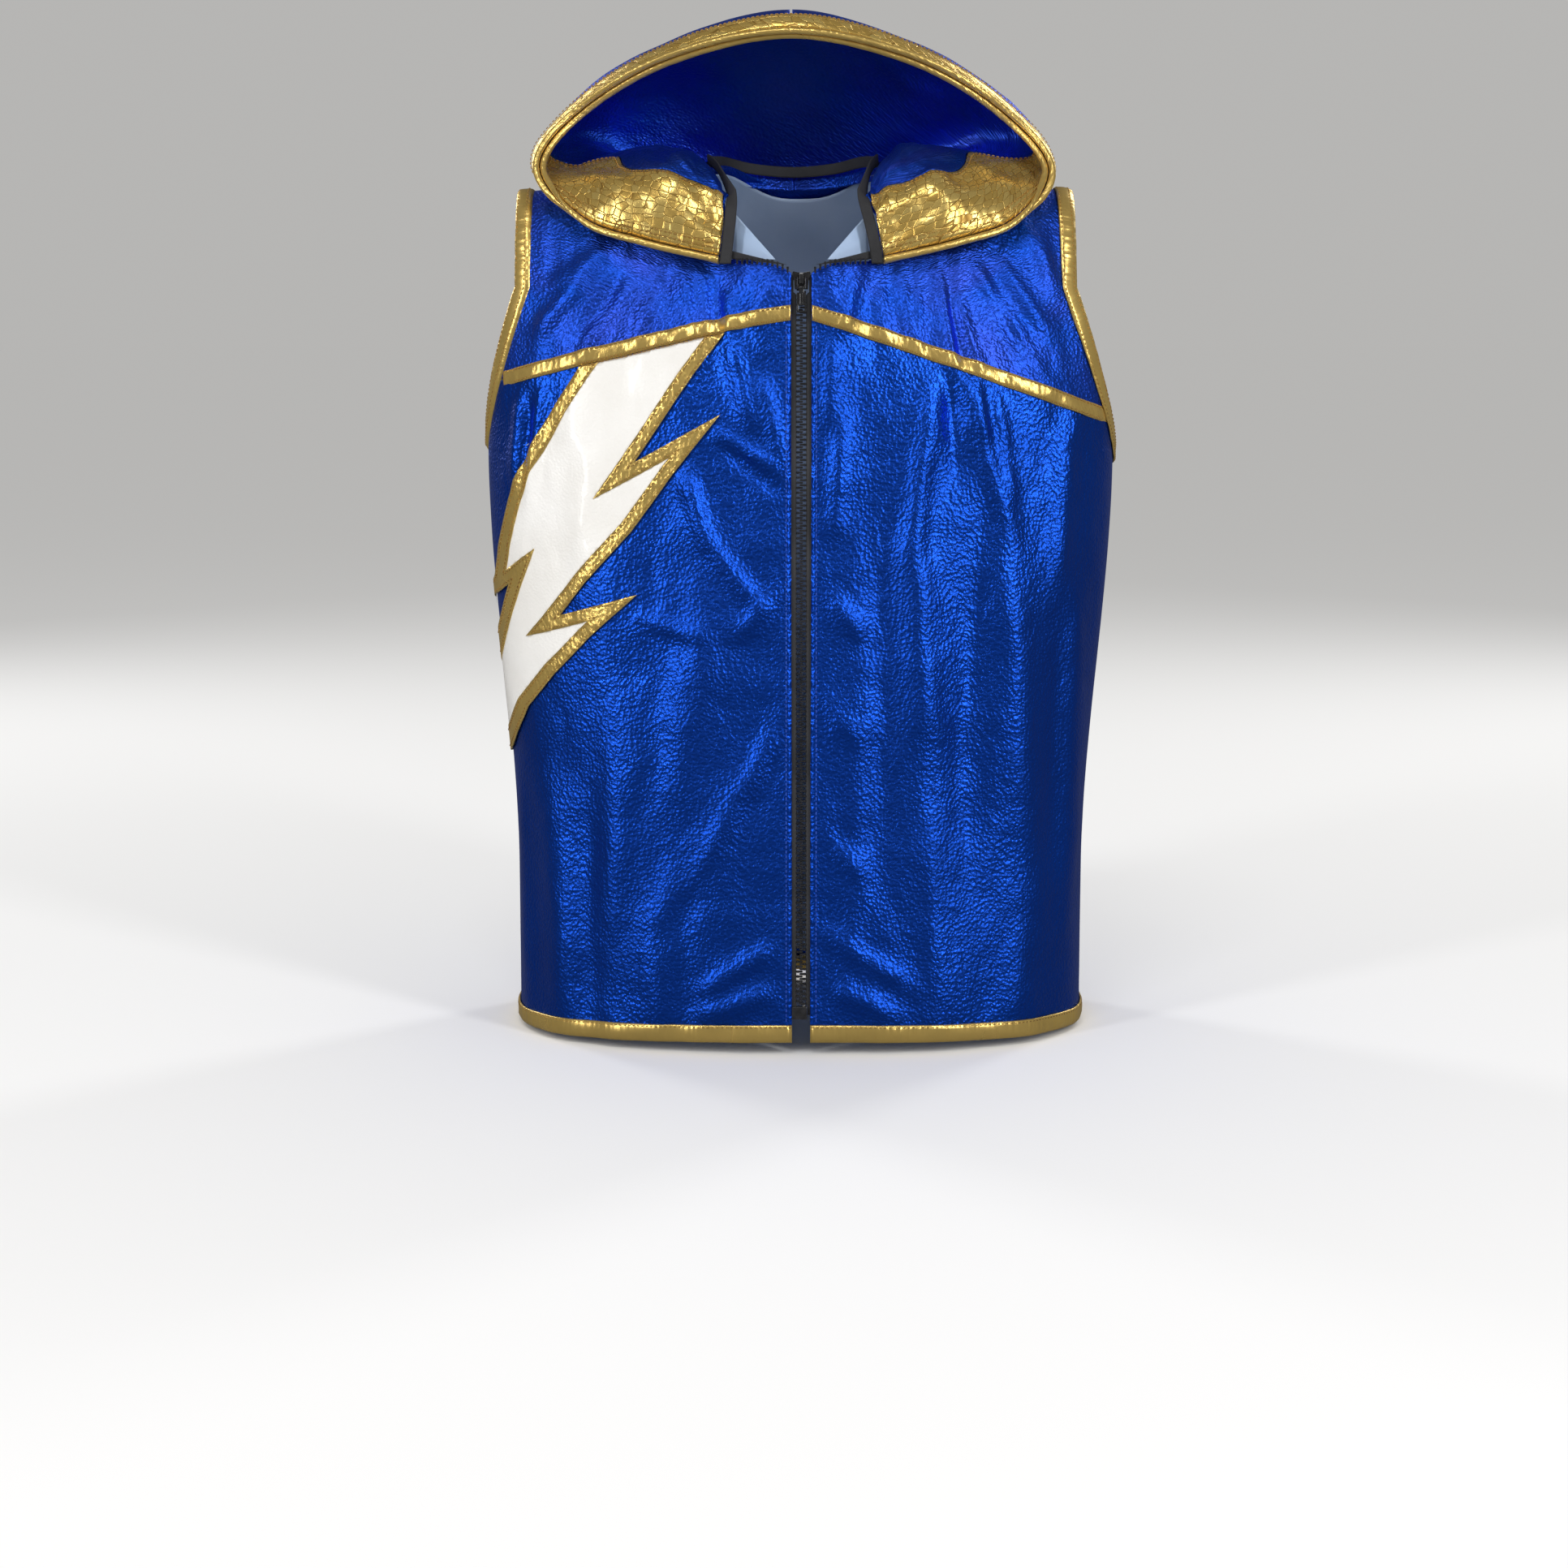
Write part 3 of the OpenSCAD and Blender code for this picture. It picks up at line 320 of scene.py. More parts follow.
def ripple(x, z, way):
    """Loose cloth between the folds: long drapes, small dents and gathers by the seams, the same each time."""
    long_drape = noise.noise(Vector((x * 24, z * 6, 3.0 * way))) * 0.0026
    small = noise.noise(Vector((x * 62, z * 30, 9.0 + way))) * 0.0009
    crumple = noise.noise(Vector((x * 140, z * 90, 17.0 - way))) * 0.0003
    total = long_drape + small + crumple
    if way < 0:
        side = 1 if x > 0 else -1
        from_zip = math.exp(-abs(x) / 0.034)
        total += noise.noise(Vector((x * 9, z * 48, 5.0 + side))) * 0.0030 * from_zip
        from_band = math.exp(-abs(z - band_level(x, side)) / 0.040)
        slant = x * 62 + side * z * 16
        total += noise.noise(Vector((slant, z * 9, 12.0))) * 0.0026 * from_band
        from_neck = math.exp(-max(0.0, -0.004 - z) / 0.022) * ease((abs(x) - 0.004) / 0.012)
        total += noise.noise(Vector((x * 85, z * 8, 25.0))) * 0.0018 * from_neck
        from_hem = math.exp(-(z - HEM_Z) / 0.045)
        total += noise.noise(Vector((x * 42, z * 16, 33.0))) * 0.0022 * from_hem
    return total


def cloth_rise(x, z, way):
    """How far the cloth stands out of the body surface at a place, x signed, less near its fixed edges."""
    depth = bpy.context.scene.vest_cloth.fold_depth
    folds = FRONT_FOLDS if way < 0 else BACK_FOLDS
    held = ease((shoulder_level(x) - z) / 0.035)
    if way < 0:
        held *= mix(0.12, 1.0, ease((abs(x) - EDGE_HALF) / 0.022))
    if z > UNDERARM_Z:
        held *= mix(0.2, 1.0, ease((armhole_x_at(z) - abs(x)) / 0.024))
    else:
        held *= mix(0.1, 1.0, ease((1 - share_at(x, z)) / 0.05))
    if way > 0 and z > 0:
        held *= ease((crest_level(x, 1) - z) / 0.05)
    rise = fold_sum(folds, x * 1000, z * 1000) * 0.0016 + ripple(x, z, way)
    return rise * held * depth


def cloth_point(s, h, way, side, lift):
    """Point of a cloth layer at share s and height h, on the left (side 1) or right (side -1)."""
    p, out = body_skin(s, h, way)
    q = p + out * (lift + cloth_rise(side * p.x, p.z, way))
    return Vector((side * q.x, q.y, q.z))


def front_point(x, z, lift):
    side = 1 if x >= 0 else -1
    return cloth_point(share_at(x, z), height_at(abs(x), z), -1, side, lift)


# ---------- places on the panels, u from the middle outwards and v upwards ----------
def yoke_inner(v):
    if v < 0.3:
        return EDGE_HALF, mix(BAND_Z + SEAM_GAP, collar_z(0), v / 0.3)
    if v < 0.6:
        t = (v - 0.3) / 0.3
        return mix(EDGE_HALF, CORNER_HALF, t), collar_z(t)
    t = (v - 0.6) / 0.4
    return neck_x(t), neck_z(t)


def domain(p):
    return share_at(p[0], p[1]), height_at(p[0], p[1])


def yoke_place(u, v, side):
    low_t = armhole_t(BAND_END[side] + SEAM_GAP)
    a, b = domain(yoke_inner(v)), armhole_place(mix(low_t, 1, v))
    a0, b0 = domain(yoke_inner(0)), armhole_place(low_t)
    x0 = mix(a0[0], b0[0], u) * CHEST_HALF
    fix = height_at(x0, band_level(x0, side) + SEAM_GAP) - mix(a0[1], b0[1], u)
    return mix(a[0], b[0], u), mix(a[1], b[1], u) + fix * (1 - v) ** 2


def hem_level(s):
    return HEM_Z - HEM_DROP * s * s


def front_side(v, side):
    if v < SIDE_SPLIT:
        return 1.0, mix(hem_level(1), UNDERARM_Z, v / SIDE_SPLIT) - CHEST_LEVEL
    return armhole_place(armhole_t(BAND_END[side] - SEAM_GAP) * (v - SIDE_SPLIT) / (1 - SIDE_SPLIT))


def front_place(u, v, side):
    """Place on a lower front, found from its level so that its grid has even rows."""
    outer = front_side(v, side)
    top_s = front_side(1, side)[0]
    s = mix(EDGE_HALF / CHEST_HALF, outer[0], sind(90 * u))
    top_x = mix(EDGE_HALF / CHEST_HALF, top_s, sind(90 * u)) * CHEST_HALF
    outer_z = CHEST_LEVEL + outer[1] if outer[1] < 0 else body_point(outer[0], outer[1], -1).z
    inner_z = mix(HEM_Z, BAND_Z - SEAM_GAP, v)
    z = mix(inner_z, outer_z, u)
    z += (band_level(top_x, side) - SEAM_GAP - mix(BAND_Z, BAND_END[side], u)) * v ** 3
    z += (hem_level(s) - mix(HEM_Z, hem_level(1), u)) * (1 - v) ** 3
    return s, height_at(s * CHEST_HALF, z)


def back_top_h(x):
    nape_h = height_at(0, NAPE_Z, 1)
    return mix(nape_h, 90, (abs(x) / NECK_HALF) ** 2.5) if abs(x) < NECK_HALF else 90


def back_place(u, v):
    if v < BACK_SPLIT:
        s = sind(90 * u)
        return s, height_at(s * CHEST_HALF, mix(hem_level(s), UNDERARM_Z, v / BACK_SPLIT), 1)
    t = (v - BACK_SPLIT) / (1 - BACK_SPLIT)
    edge = armhole_place(t, 1)
    s = edge[0] * sind(90 * u)
    inner_h = mix(height_at(0, UNDERARM_Z, 1), back_top_h(s * CHEST_HALF), t)
    return s, mix(inner_h, edge[1], u * u)


def lining_place(u, v, short=0.012):
    top_z = mix(collar_z(0.5) - short, armhole_z(0.55), u)
    z = mix(HEM_Z + short, top_z, v)
    pull = short * ease((z - UNDERARM_Z) / 0.01)
    edge_x = half_width(z) if z < UNDERARM_Z else armhole_x_at(z) - pull
    x = mix(TAPE_HALF + 0.002, edge_x, sind(90 * u))
    return share_at(x, z), height_at(x, z)


# ---------- the hood surface ----------
def net_at(i):
    last = len(HOOD_NET) - 1
    if i < 0:
        return [2 * Vector(a) - Vector(b) for a, b in zip(HOOD_NET[0], HOOD_NET[1])]
    if i > last:
        return [Vector((-p[0], p[1], p[2])) for p in HOOD_NET[2 * last - i]]
    return [Vector(p) for p in HOOD_NET[i]]


NET = {i: net_at(i) for i in range(-1, len(HOOD_NET) + 2)}


def net_row(t):
    q = t * (len(HOOD_NET) - 1)
    i = min(len(HOOD_NET) - 2, math.floor(q))
    f = q - i
    return [
        0.5 * (2 * b + f * (c - a) + f * f * (2 * a - 5 * b + 4 * c - d) + f ** 3 * (3 * b - a - 3 * c + d))
        for a, b, c, d in zip(NET[i - 1], NET[i], NET[i + 1], NET[i + 2])
    ]


def hood_base(t, s):
    a, b, c, d = net_row(t)
    k = 1 - s
    return k ** 3 * a + 3 * k * k * s * b + 3 * k * s * s * c + s ** 3 * d


def hood_out(t, s):
    t0, t1 = max(0, t - 0.01), min(1, t + 0.01)
    s0, s1 = max(0, s - 0.01), min(1, s + 0.01)
    across = hood_base(t, s1) - hood_base(t, s0)
    return across.cross(hood_base(t1, s) - hood_base(t0, s)).normalized()


def leaned(p, side):
    return Vector((side * p.x + HOOD_LEAN * ease(p.z / 0.1), p.y, p.z))


def strip_share(t, w):
    row = net_row(t)
    return min(0.96, w / (3 * (row[1] - row[0]).length))


def hood_rise(t, s, side):
    """Soft folds of the hood, fading at the mouth, the seam at the top and the neck."""
    free = ease(s / 0.35) * ease((1 - s) / 0.2) * mix(0.35, 1, ease((1 - t) / 0.12))
    along = math.sin(17 * t + 6 * s + side) * 0.0022 + math.sin(31 * t - 9 * s + 2 * side) * 0.0011
    dents = noise.noise(Vector((t * 9, s * 6, 21 + side))) * 0.004
    crumple = noise.noise(Vector((t * 26, s * 18, 31 + side))) * 0.0012
    mouth = noise.noise(Vector((t * 13, s * 4, 41 + side))) * 0.0008 * ease(t / 0.1) * ease((1 - t) / 0.1)
    return (along + dents + crumple) * free + mouth * ease((1 - s) / 0.4)


def hood_point(t, s, lift, side):
    return leaned(hood_base(t, s) + hood_out(t, s) * (lift + hood_rise(t, s, side)), side)


def both_sides(v):
    """Splits a run from the right corner over the top to the left corner into share and side."""
    q = 2 * v - 1
    return 1 - abs(q), (-1 if q < 0 else 1)


# ---------- making meshes ----------
def finish_piece(name, bm, material, smooth=True):
    mesh = bpy.data.meshes.new(name)
    bm.to_mesh(mesh)
    bm.free()
    for polygon in mesh.polygons:
        polygon.use_smooth = smooth
    piece = bpy.data.objects.new(name, mesh)
    bpy.context.scene.collection.objects.link(piece)
    mesh.materials.append(material)
    return piece


def add_thickness(piece, thick, offset=-1.0):
    wall = piece.modifiers.new("thickness", "SOLIDIFY")
    wall.thickness = thick
    wall.offset = offset
    return piece


def grid_mesh(across, along, place, flip=False, wrap=False):
    """A grid whose point at shares u, v goes to place(u, v); its UV map holds metres along the cloth."""
    bm = bmesh.new()
    bmesh.ops.create_grid(bm, x_segments=across, y_segments=along, size=0.5)
    layer = bm.loops.layers.uv.new("cloth")
    cells = {(round((v.co.x + 0.5) * across), round((v.co.y + 0.5) * along)): v for v in bm.verts}
    for (i, j), vert in cells.items():
        vert.co = place(i / across, j / along)
    reach = {}
    for j in range(along + 1):
        length = 0.0
        for i in range(across + 1):
            if i:
                length += (cells[i, j].co - cells[i - 1, j].co).length
            reach[cells[i, j]] = [length, 0.0]
    for i in range(across + 1):
        length = 0.0
        for j in range(along + 1):
            if j:
                length += (cells[i, j].co - cells[i, j - 1].co).length
            reach[cells[i, j]][1] = length
    for face in bm.faces:
        for loop in face.loops:
            loop[layer].uv = reach[loop.vert]
    if wrap:
        bmesh.ops.remove_doubles(bm, verts=bm.verts, dist=1e-6)
    if flip:
        bmesh.ops.reverse_faces(bm, faces=bm.faces)
    return bm


def add_block(bm, low, high, matrix=Matrix.Identity(4)):
    """A box between two corners, added to a mesh in making."""
    low, high = Vector(low), Vector(high)
    middle, size = (low + high) / 2, high - low
    place = matrix @ Matrix.Translation(middle) @ Matrix.Diagonal((*size, 1))
    return bmesh.ops.create_cube(bm, size=1, matrix=place)["verts"]


def bevel_all(bm, width, segments=2):
    bmesh.ops.bevel(bm, geom=bm.edges[:], offset=width, segments=segments, profile=0.5,
                    affect="EDGES", material=-1)


def strip_mesh(path, across, steps, closed=False, flip=False):
    """A strip whose point number i, share u lies at across(i, u), with UV in metres along the path."""
    lengths = [0.0]
    for a, b in zip(path, path[1:]):
        lengths.append(lengths[-1] + (b - a).length)
    last = len(path) - 1

    def place(u, v):
        return across(round(v * last), u)
    bm = bmesh.new()
    bmesh.ops.create_grid(bm, x_segments=steps, y_segments=last, size=0.5)
    layer = bm.loops.layers.uv.new("cloth")
    shares = {v: (v.co.x + 0.5, v.co.y + 0.5) for v in bm.verts}
    width = (place(1, 0) - place(0, 0)).length
    for face in bm.faces:
        for loop in face.loops:
            u, v = shares[loop.vert]
            loop[layer].uv = (u * width, lengths[round(v * last)])
    for vert, (u, v) in shares.items():
        vert.co = place(u, v)
    if closed:
        bmesh.ops.remove_doubles(bm, verts=bm.verts, dist=1e-6)
    if flip:
        bmesh.ops.reverse_faces(bm, faces=bm.faces)
    return bm


def stitch_run(bm, points, normals, length=0.0022, gap=0.0013, wide=0.00055, lift=0.0):
    """Short raised stitches along a line, each one a small bevelled block."""
    pitch = length + gap
    travelled, target = 0.0, pitch / 2
    for i in range(len(points) - 1):
        a, b = points[i], points[i + 1]
        run = (b - a).length
        while travelled + run >= target and run > 0:
            t = (target - travelled) / run
            at = a.lerp(b, t)
            along = (b - a) / run
            out = normals[i].lerp(normals[i + 1], t).normalized()
            side = out.cross(along).normalized()
            up = along.cross(side)
            turn = Matrix((along, side, up)).transposed().to_4x4()
            place = Matrix.Translation(at + up * (lift + wide * 0.3)) @ turn
            block = bmesh.ops.create_cube(bm, size=1, matrix=place @ Matrix.Diagonal((length, wide * 1.3, wide, 1)))
            tops = [v for v in block["verts"] if (place.inverted() @ v.co).z > 0]
            bmesh.ops.scale(bm, vec=(0.62, 0.7, 1), space=place.inverted(), verts=tops)
            target += pitch
        travelled += run
    return bm


def stitch_piece(name, runs, look, body):
    bm = bmesh.new()
    for points, normals, options in runs:
        stitch_run(bm, points, normals, **options)
    piece = finish_piece(name, bm, look, smooth=False)
    if body == "hood":
        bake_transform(piece)
    else:
        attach(piece, body)
    return piece


# ---------- materials ----------
def new_group(name, inputs, outputs):
    group = bpy.data.node_groups.new(name, "ShaderNodeTree")
    for label, kind, value in inputs:
        socket = group.interface.new_socket(label, in_out="INPUT", socket_type=kind)
        if value is not None:
            socket.default_value = value
    for label, kind in outputs:
        group.interface.new_socket(label, in_out="OUTPUT", socket_type=kind)
    return group, group.nodes.new("NodeGroupInput"), group.nodes.new("NodeGroupOutput")


def put(tree, kind, links=(), **settings):
    """A node with its settings; links are (input name or number, output socket or plain value)."""
    node = tree.nodes.new(kind)
    for key, value in settings.items():
        setattr(node, key, value)
    for key, value in links:
        if isinstance(value, bpy.types.NodeSocket):
            tree.links.new(value, node.inputs[key])
        else:
            node.inputs[key].default_value = value
    return node


def ramp(tree, fac, stops):
    node = put(tree, "ShaderNodeValToRGB", [("Fac", fac)])
    band = node.color_ramp
    while len(band.elements) < len(stops):
        band.elements.new(0.5)
    for element, (position, value) in zip(band.elements, stops):
        element.position = position
        element.color = (value, value, value, 1)
    return node.outputs["Color"]


def crinkle_group():
    """Fine worm-like creases of foil cloth over softer dents."""
    group, source, sink = new_group(
        "Foil crinkle",
        [("Vector", "NodeSocketVector", None), ("Grain", "NodeSocketFloat", 420.0),
         ("Depth", "NodeSocketFloat", 0.5)],
        [("Normal", "NodeSocketVector"), ("Height", "NodeSocketFloat")])
    coords = source.outputs["Vector"]
    warp = put(group, "ShaderNodeTexNoise", [("Vector", coords), ("Scale", 260.0), ("Detail", 2.0)])
    moved = put(group, "ShaderNodeMixRGB", [("Fac", 0.0016), ("Color1", coords), ("Color2", warp.outputs["Color"])])
    cells = put(group, "ShaderNodeTexVoronoi",
                [("Vector", moved.outputs["Color"]), ("Scale", source.outputs["Grain"])], feature="SMOOTH_F1")
    cells.inputs["Smoothness"].default_value = 0.6
    fine = put(group, "ShaderNodeTexNoise", [("Vector", coords), ("Scale", 900.0), ("Detail", 3.0)])
    broad = put(group, "ShaderNodeTexNoise", [("Vector", coords), ("Scale", 55.0), ("Detail", 4.0)])
    first = put(group, "ShaderNodeMath", [(0, cells.outputs["Distance"]), (1, 1.1)], operation="MULTIPLY")
    second = put(group, "ShaderNodeMath", [(0, fine.outputs["Fac"]), (1, 0.35), (2, first.outputs[0])],
                 operation="MULTIPLY_ADD")
    total = put(group, "ShaderNodeMath", [(0, broad.outputs["Fac"]), (1, 1.6), (2, second.outputs[0])],
                operation="MULTIPLY_ADD")
    bump = put(group, "ShaderNodeBump", [("Strength", source.outputs["Depth"]), ("Distance", 0.0006),
                                         ("Height", total.outputs[0])])
    group.links.new(bump.outputs["Normal"], sink.inputs["Normal"])
    group.links.new(total.outputs[0], sink.inputs["Height"])
    return group


def tone_and_sheen_group():
    """Slow patches from 0 to 1, for uneven colour and polish; on the yoke and hood they also place the painted
    violet sheen.
    """
    group, source, sink = new_group(
        "Uneven patches",
        [("Vector", "NodeSocketVector", None), ("Scale", "NodeSocketFloat", 12.0),
         ("Low", "NodeSocketFloat", 0.35), ("High", "NodeSocketFloat", 0.7)],
        [("Mask", "NodeSocketFloat")])
    cloud = put(group, "ShaderNodeTexNoise", [("Vector", source.outputs["Vector"]),
                                              ("Scale", source.outputs["Scale"]), ("Detail", 4.0)])
    span = put(group, "ShaderNodeMapRange", [("Value", cloud.outputs["Fac"]), ("From Min", source.outputs["Low"]),
                                             ("From Max", source.outputs["High"])])
    group.links.new(span.outputs["Result"], sink.inputs["Mask"])
    return group


def weave_group():
    """Crossing threads; Across and Along set the thread counts for each metre."""
    group, source, sink = new_group(
        "Thread weave",
        [("Vector", "NodeSocketVector", None), ("Across", "NodeSocketFloat", 900.0),
         ("Along", "NodeSocketFloat", 900.0), ("Depth", "NodeSocketFloat", 0.4)],
        [("Normal", "NodeSocketVector"), ("Mask", "NodeSocketFloat")])
    parts = put(group, "ShaderNodeSeparateXYZ", [("Vector", source.outputs["Vector"])])
    waves = []
    for axis, count in (("X", "Across"), ("Y", "Along")):
        turn = put(group, "ShaderNodeMath", [(0, parts.outputs[axis]), (1, source.outputs[count])],
                   operation="MULTIPLY")
        full = put(group, "ShaderNodeMath", [(0, turn.outputs[0]), (1, 2 * math.pi)], operation="MULTIPLY")
        waves.append(put(group, "ShaderNodeMath", [(0, full.outputs[0])], operation="SINE"))
    product = put(group, "ShaderNodeMath", [(0, waves[0].outputs[0]), (1, waves[1].outputs[0])],
                  operation="MULTIPLY")
    mask = put(group, "ShaderNodeMath", [(0, product.outputs[0]), (1, 0.5), (2, 0.5)], operation="MULTIPLY_ADD")
    bump = put(group, "ShaderNodeBump", [("Strength", source.outputs["Depth"]), ("Distance", 0.0003),
                                         ("Height", mask.outputs[0])])
    group.links.new(bump.outputs["Normal"], sink.inputs["Normal"])
    group.links.new(mask.outputs[0], sink.inputs["Mask"])
    return group


def start_material(name):
    material = bpy.data.materials.new(name)
    material.use_nodes = True
    tree = material.node_tree
    return material, tree, tree.nodes["Principled BSDF"]


def shade(tree, low, high, fac):
    mixed = put(tree, "ShaderNodeMixRGB", [("Fac", fac), ("Color1", (*low, 1)), ("Color2", (*high, 1))])
    return mixed.outputs["Color"]


def foil_material(name, low, high, rough, groups, grain=430.0, depth=0.5, metallic=0.92):
    material, tree, bsdf = start_material(name)
    coords = put(tree, "ShaderNodeTexCoord").outputs["UV"]
    crinkle = put(tree, "ShaderNodeGroup", node_tree=groups["crinkle"])
    tree.links.new(coords, crinkle.inputs["Vector"])
    crinkle.inputs["Grain"].default_value = grain
    crinkle.inputs["Depth"].default_value = depth
    patches = put(tree, "ShaderNodeGroup", node_tree=groups["tone_and_sheen"])
    tree.links.new(coords, patches.inputs["Vector"])
    # The colour goes from low to high with the patches; on the yoke and hood high is the violet, so there this
    # paints a sheen.
    tree.links.new(shade(tree, low, high, patches.outputs["Mask"]), bsdf.inputs["Base Color"])
    bsdf.inputs["Metallic"].default_value = metallic
    polish = put(tree, "ShaderNodeMapRange", [("Value", patches.outputs["Mask"]), ("To Min", rough + 0.05),
                                              ("To Max", rough - 0.04)])
    tree.links.new(polish.outputs["Result"], bsdf.inputs["Roughness"])
    tree.links.new(crinkle.outputs["Normal"], bsdf.inputs["Normal"])
    return material


def snake_material(groups):
    """Gold leather pressed with small scales."""
    material, tree, bsdf = start_material("gold scale leather")
    coords = put(tree, "ShaderNodeTexCoord").outputs["UV"]
    stretched = put(tree, "ShaderNodeMapping", [("Vector", coords), ("Scale", (1.0, 0.72, 1.0))])
    edge = put(tree, "ShaderNodeTexVoronoi", [("Vector", stretched.outputs[0]), ("Scale", 190.0),
                                              ("Randomness", 0.55)], feature="DISTANCE_TO_EDGE")
    cell = put(tree, "ShaderNodeTexVoronoi", [("Vector", stretched.outputs[0]), ("Scale", 190.0),
                                              ("Randomness", 0.55)])
    rise = ramp(tree, edge.outputs["Distance"], [(0.0, 0.0), (0.06, 0.8), (0.3, 1.0)])
    fine = put(tree, "ShaderNodeTexNoise", [("Vector", coords), ("Scale", 700.0), ("Detail", 3.0)])
    total = put(tree, "ShaderNodeMath", [(0, fine.outputs["Fac"]), (1, 0.3), (2, rise)], operation="MULTIPLY_ADD")
    groove = ramp(tree, edge.outputs["Distance"], [(0.0, 0.0), (0.045, 1.0)])
    shade_of_scale = put(tree, "ShaderNodeRGBToBW", [("Color", cell.outputs["Color"])])
    tone = put(tree, "ShaderNodeMixRGB", [("Fac", shade_of_scale.outputs[0]), ("Color1", (0.82, 0.52, 0.12, 1)),
                                          ("Color2", (1.0, 0.74, 0.24, 1))])
    color = put(tree, "ShaderNodeMixRGB", [("Fac", groove), ("Color1", (0.30, 0.16, 0.03, 1)),
                                           ("Color2", tone.outputs["Color"])])
    tree.links.new(color.outputs["Color"], bsdf.inputs["Base Color"])
    bsdf.inputs["Metallic"].default_value = 0.8
    polish = put(tree, "ShaderNodeMapRange", [("Value", groove), ("To Min", 0.5), ("To Max", 0.26)])
    tree.links.new(polish.outputs["Result"], bsdf.inputs["Roughness"])
    bump = put(tree, "ShaderNodeBump", [("Strength", 0.55), ("Distance", 0.0006), ("Height", total.outputs[0])])
    tree.links.new(bump.outputs["Normal"], bsdf.inputs["Normal"])
    return material


def grained_material(groups):
    """White coated leather with a fine pebbled grain."""
    material, tree, bsdf = start_material("white grained leather")
    coords = put(tree, "ShaderNodeTexCoord").outputs["Object"]
    cells = put(tree, "ShaderNodeTexVoronoi", [("Vector", coords), ("Scale", 620.0)], feature="SMOOTH_F1")
    broad = put(tree, "ShaderNodeTexNoise", [("Vector", coords), ("Scale", 60.0), ("Detail", 4.0)])
    total = put(tree, "ShaderNodeMath", [(0, broad.outputs["Fac"]), (1, 1.2), (2, cells.outputs["Distance"])],
                operation="MULTIPLY_ADD")
    bump = put(tree, "ShaderNodeBump", [("Strength", 0.4), ("Distance", 0.0006), ("Height", total.outputs[0])])
    patches = put(tree, "ShaderNodeGroup", node_tree=groups["tone_and_sheen"])
    tree.links.new(coords, patches.inputs["Vector"])
    tree.links.new(shade(tree, (0.80, 0.78, 0.74), (0.90, 0.89, 0.87), patches.outputs["Mask"]),
                   bsdf.inputs["Base Color"])
    bsdf.inputs["Roughness"].default_value = 0.34
    bsdf.inputs["Coat Weight"].default_value = 0.25
    tree.links.new(bump.outputs["Normal"], bsdf.inputs["Normal"])
    return material


def woven_material(name, low, high, rough, groups, across, along, metallic=0.0, depth=0.5, source="UV"):
    material, tree, bsdf = start_material(name)
    coords = put(tree, "ShaderNodeTexCoord").outputs[source]
    weave = put(tree, "ShaderNodeGroup", node_tree=groups["weave"])
    tree.links.new(coords, weave.inputs["Vector"])
    weave.inputs["Across"].default_value = across
    weave.inputs["Along"].default_value = along
    weave.inputs["Depth"].default_value = depth
    patches = put(tree, "ShaderNodeGroup", node_tree=groups["tone_and_sheen"])
    tree.links.new(coords, patches.inputs["Vector"])
    tone = put(tree, "ShaderNodeMath", [(0, weave.outputs["Mask"]), (1, 0.5), (2, patches.outputs["Mask"])],
               operation="MULTIPLY_ADD", use_clamp=True)
    tree.links.new(shade(tree, low, high, tone.outputs[0]), bsdf.inputs["Base Color"])
    bsdf.inputs["Metallic"].default_value = metallic
    bsdf.inputs["Roughness"].default_value = rough
    tree.links.new(weave.outputs["Normal"], bsdf.inputs["Normal"])
    return material


def hard_material(name, low, high, rough, groups, metallic=0.0, coat=0.0, scale=900.0, depth=0.12):
    """Moulded plastic, enamel or bright metal with a faint uneven face."""
    material, tree, bsdf = start_material(name)
    coords = put(tree, "ShaderNodeTexCoord").outputs["Object"]
    grain = put(tree, "ShaderNodeTexNoise", [("Vector", coords), ("Scale", scale), ("Detail", 3.0)])
    bump = put(tree, "ShaderNodeBump", [("Strength", depth), ("Distance", 0.0002), ("Height", grain.outputs["Fac"])])
    patches = put(tree, "ShaderNodeGroup", node_tree=groups["tone_and_sheen"])
    tree.links.new(coords, patches.inputs["Vector"])
    patches.inputs["Scale"].default_value = 240.0
    tree.links.new(shade(tree, low, high, patches.outputs["Mask"]), bsdf.inputs["Base Color"])
    polish = put(tree, "ShaderNodeMapRange", [("Value", patches.outputs["Mask"]), ("To Min", rough + 0.06),
                                              ("To Max", rough - 0.04)])
    tree.links.new(polish.outputs["Result"], bsdf.inputs["Roughness"])
    bsdf.inputs["Metallic"].default_value = metallic
    bsdf.inputs["Coat Weight"].default_value = coat
    tree.links.new(bump.outputs["Normal"], bsdf.inputs["Normal"])
    return material


LOOKS = {}


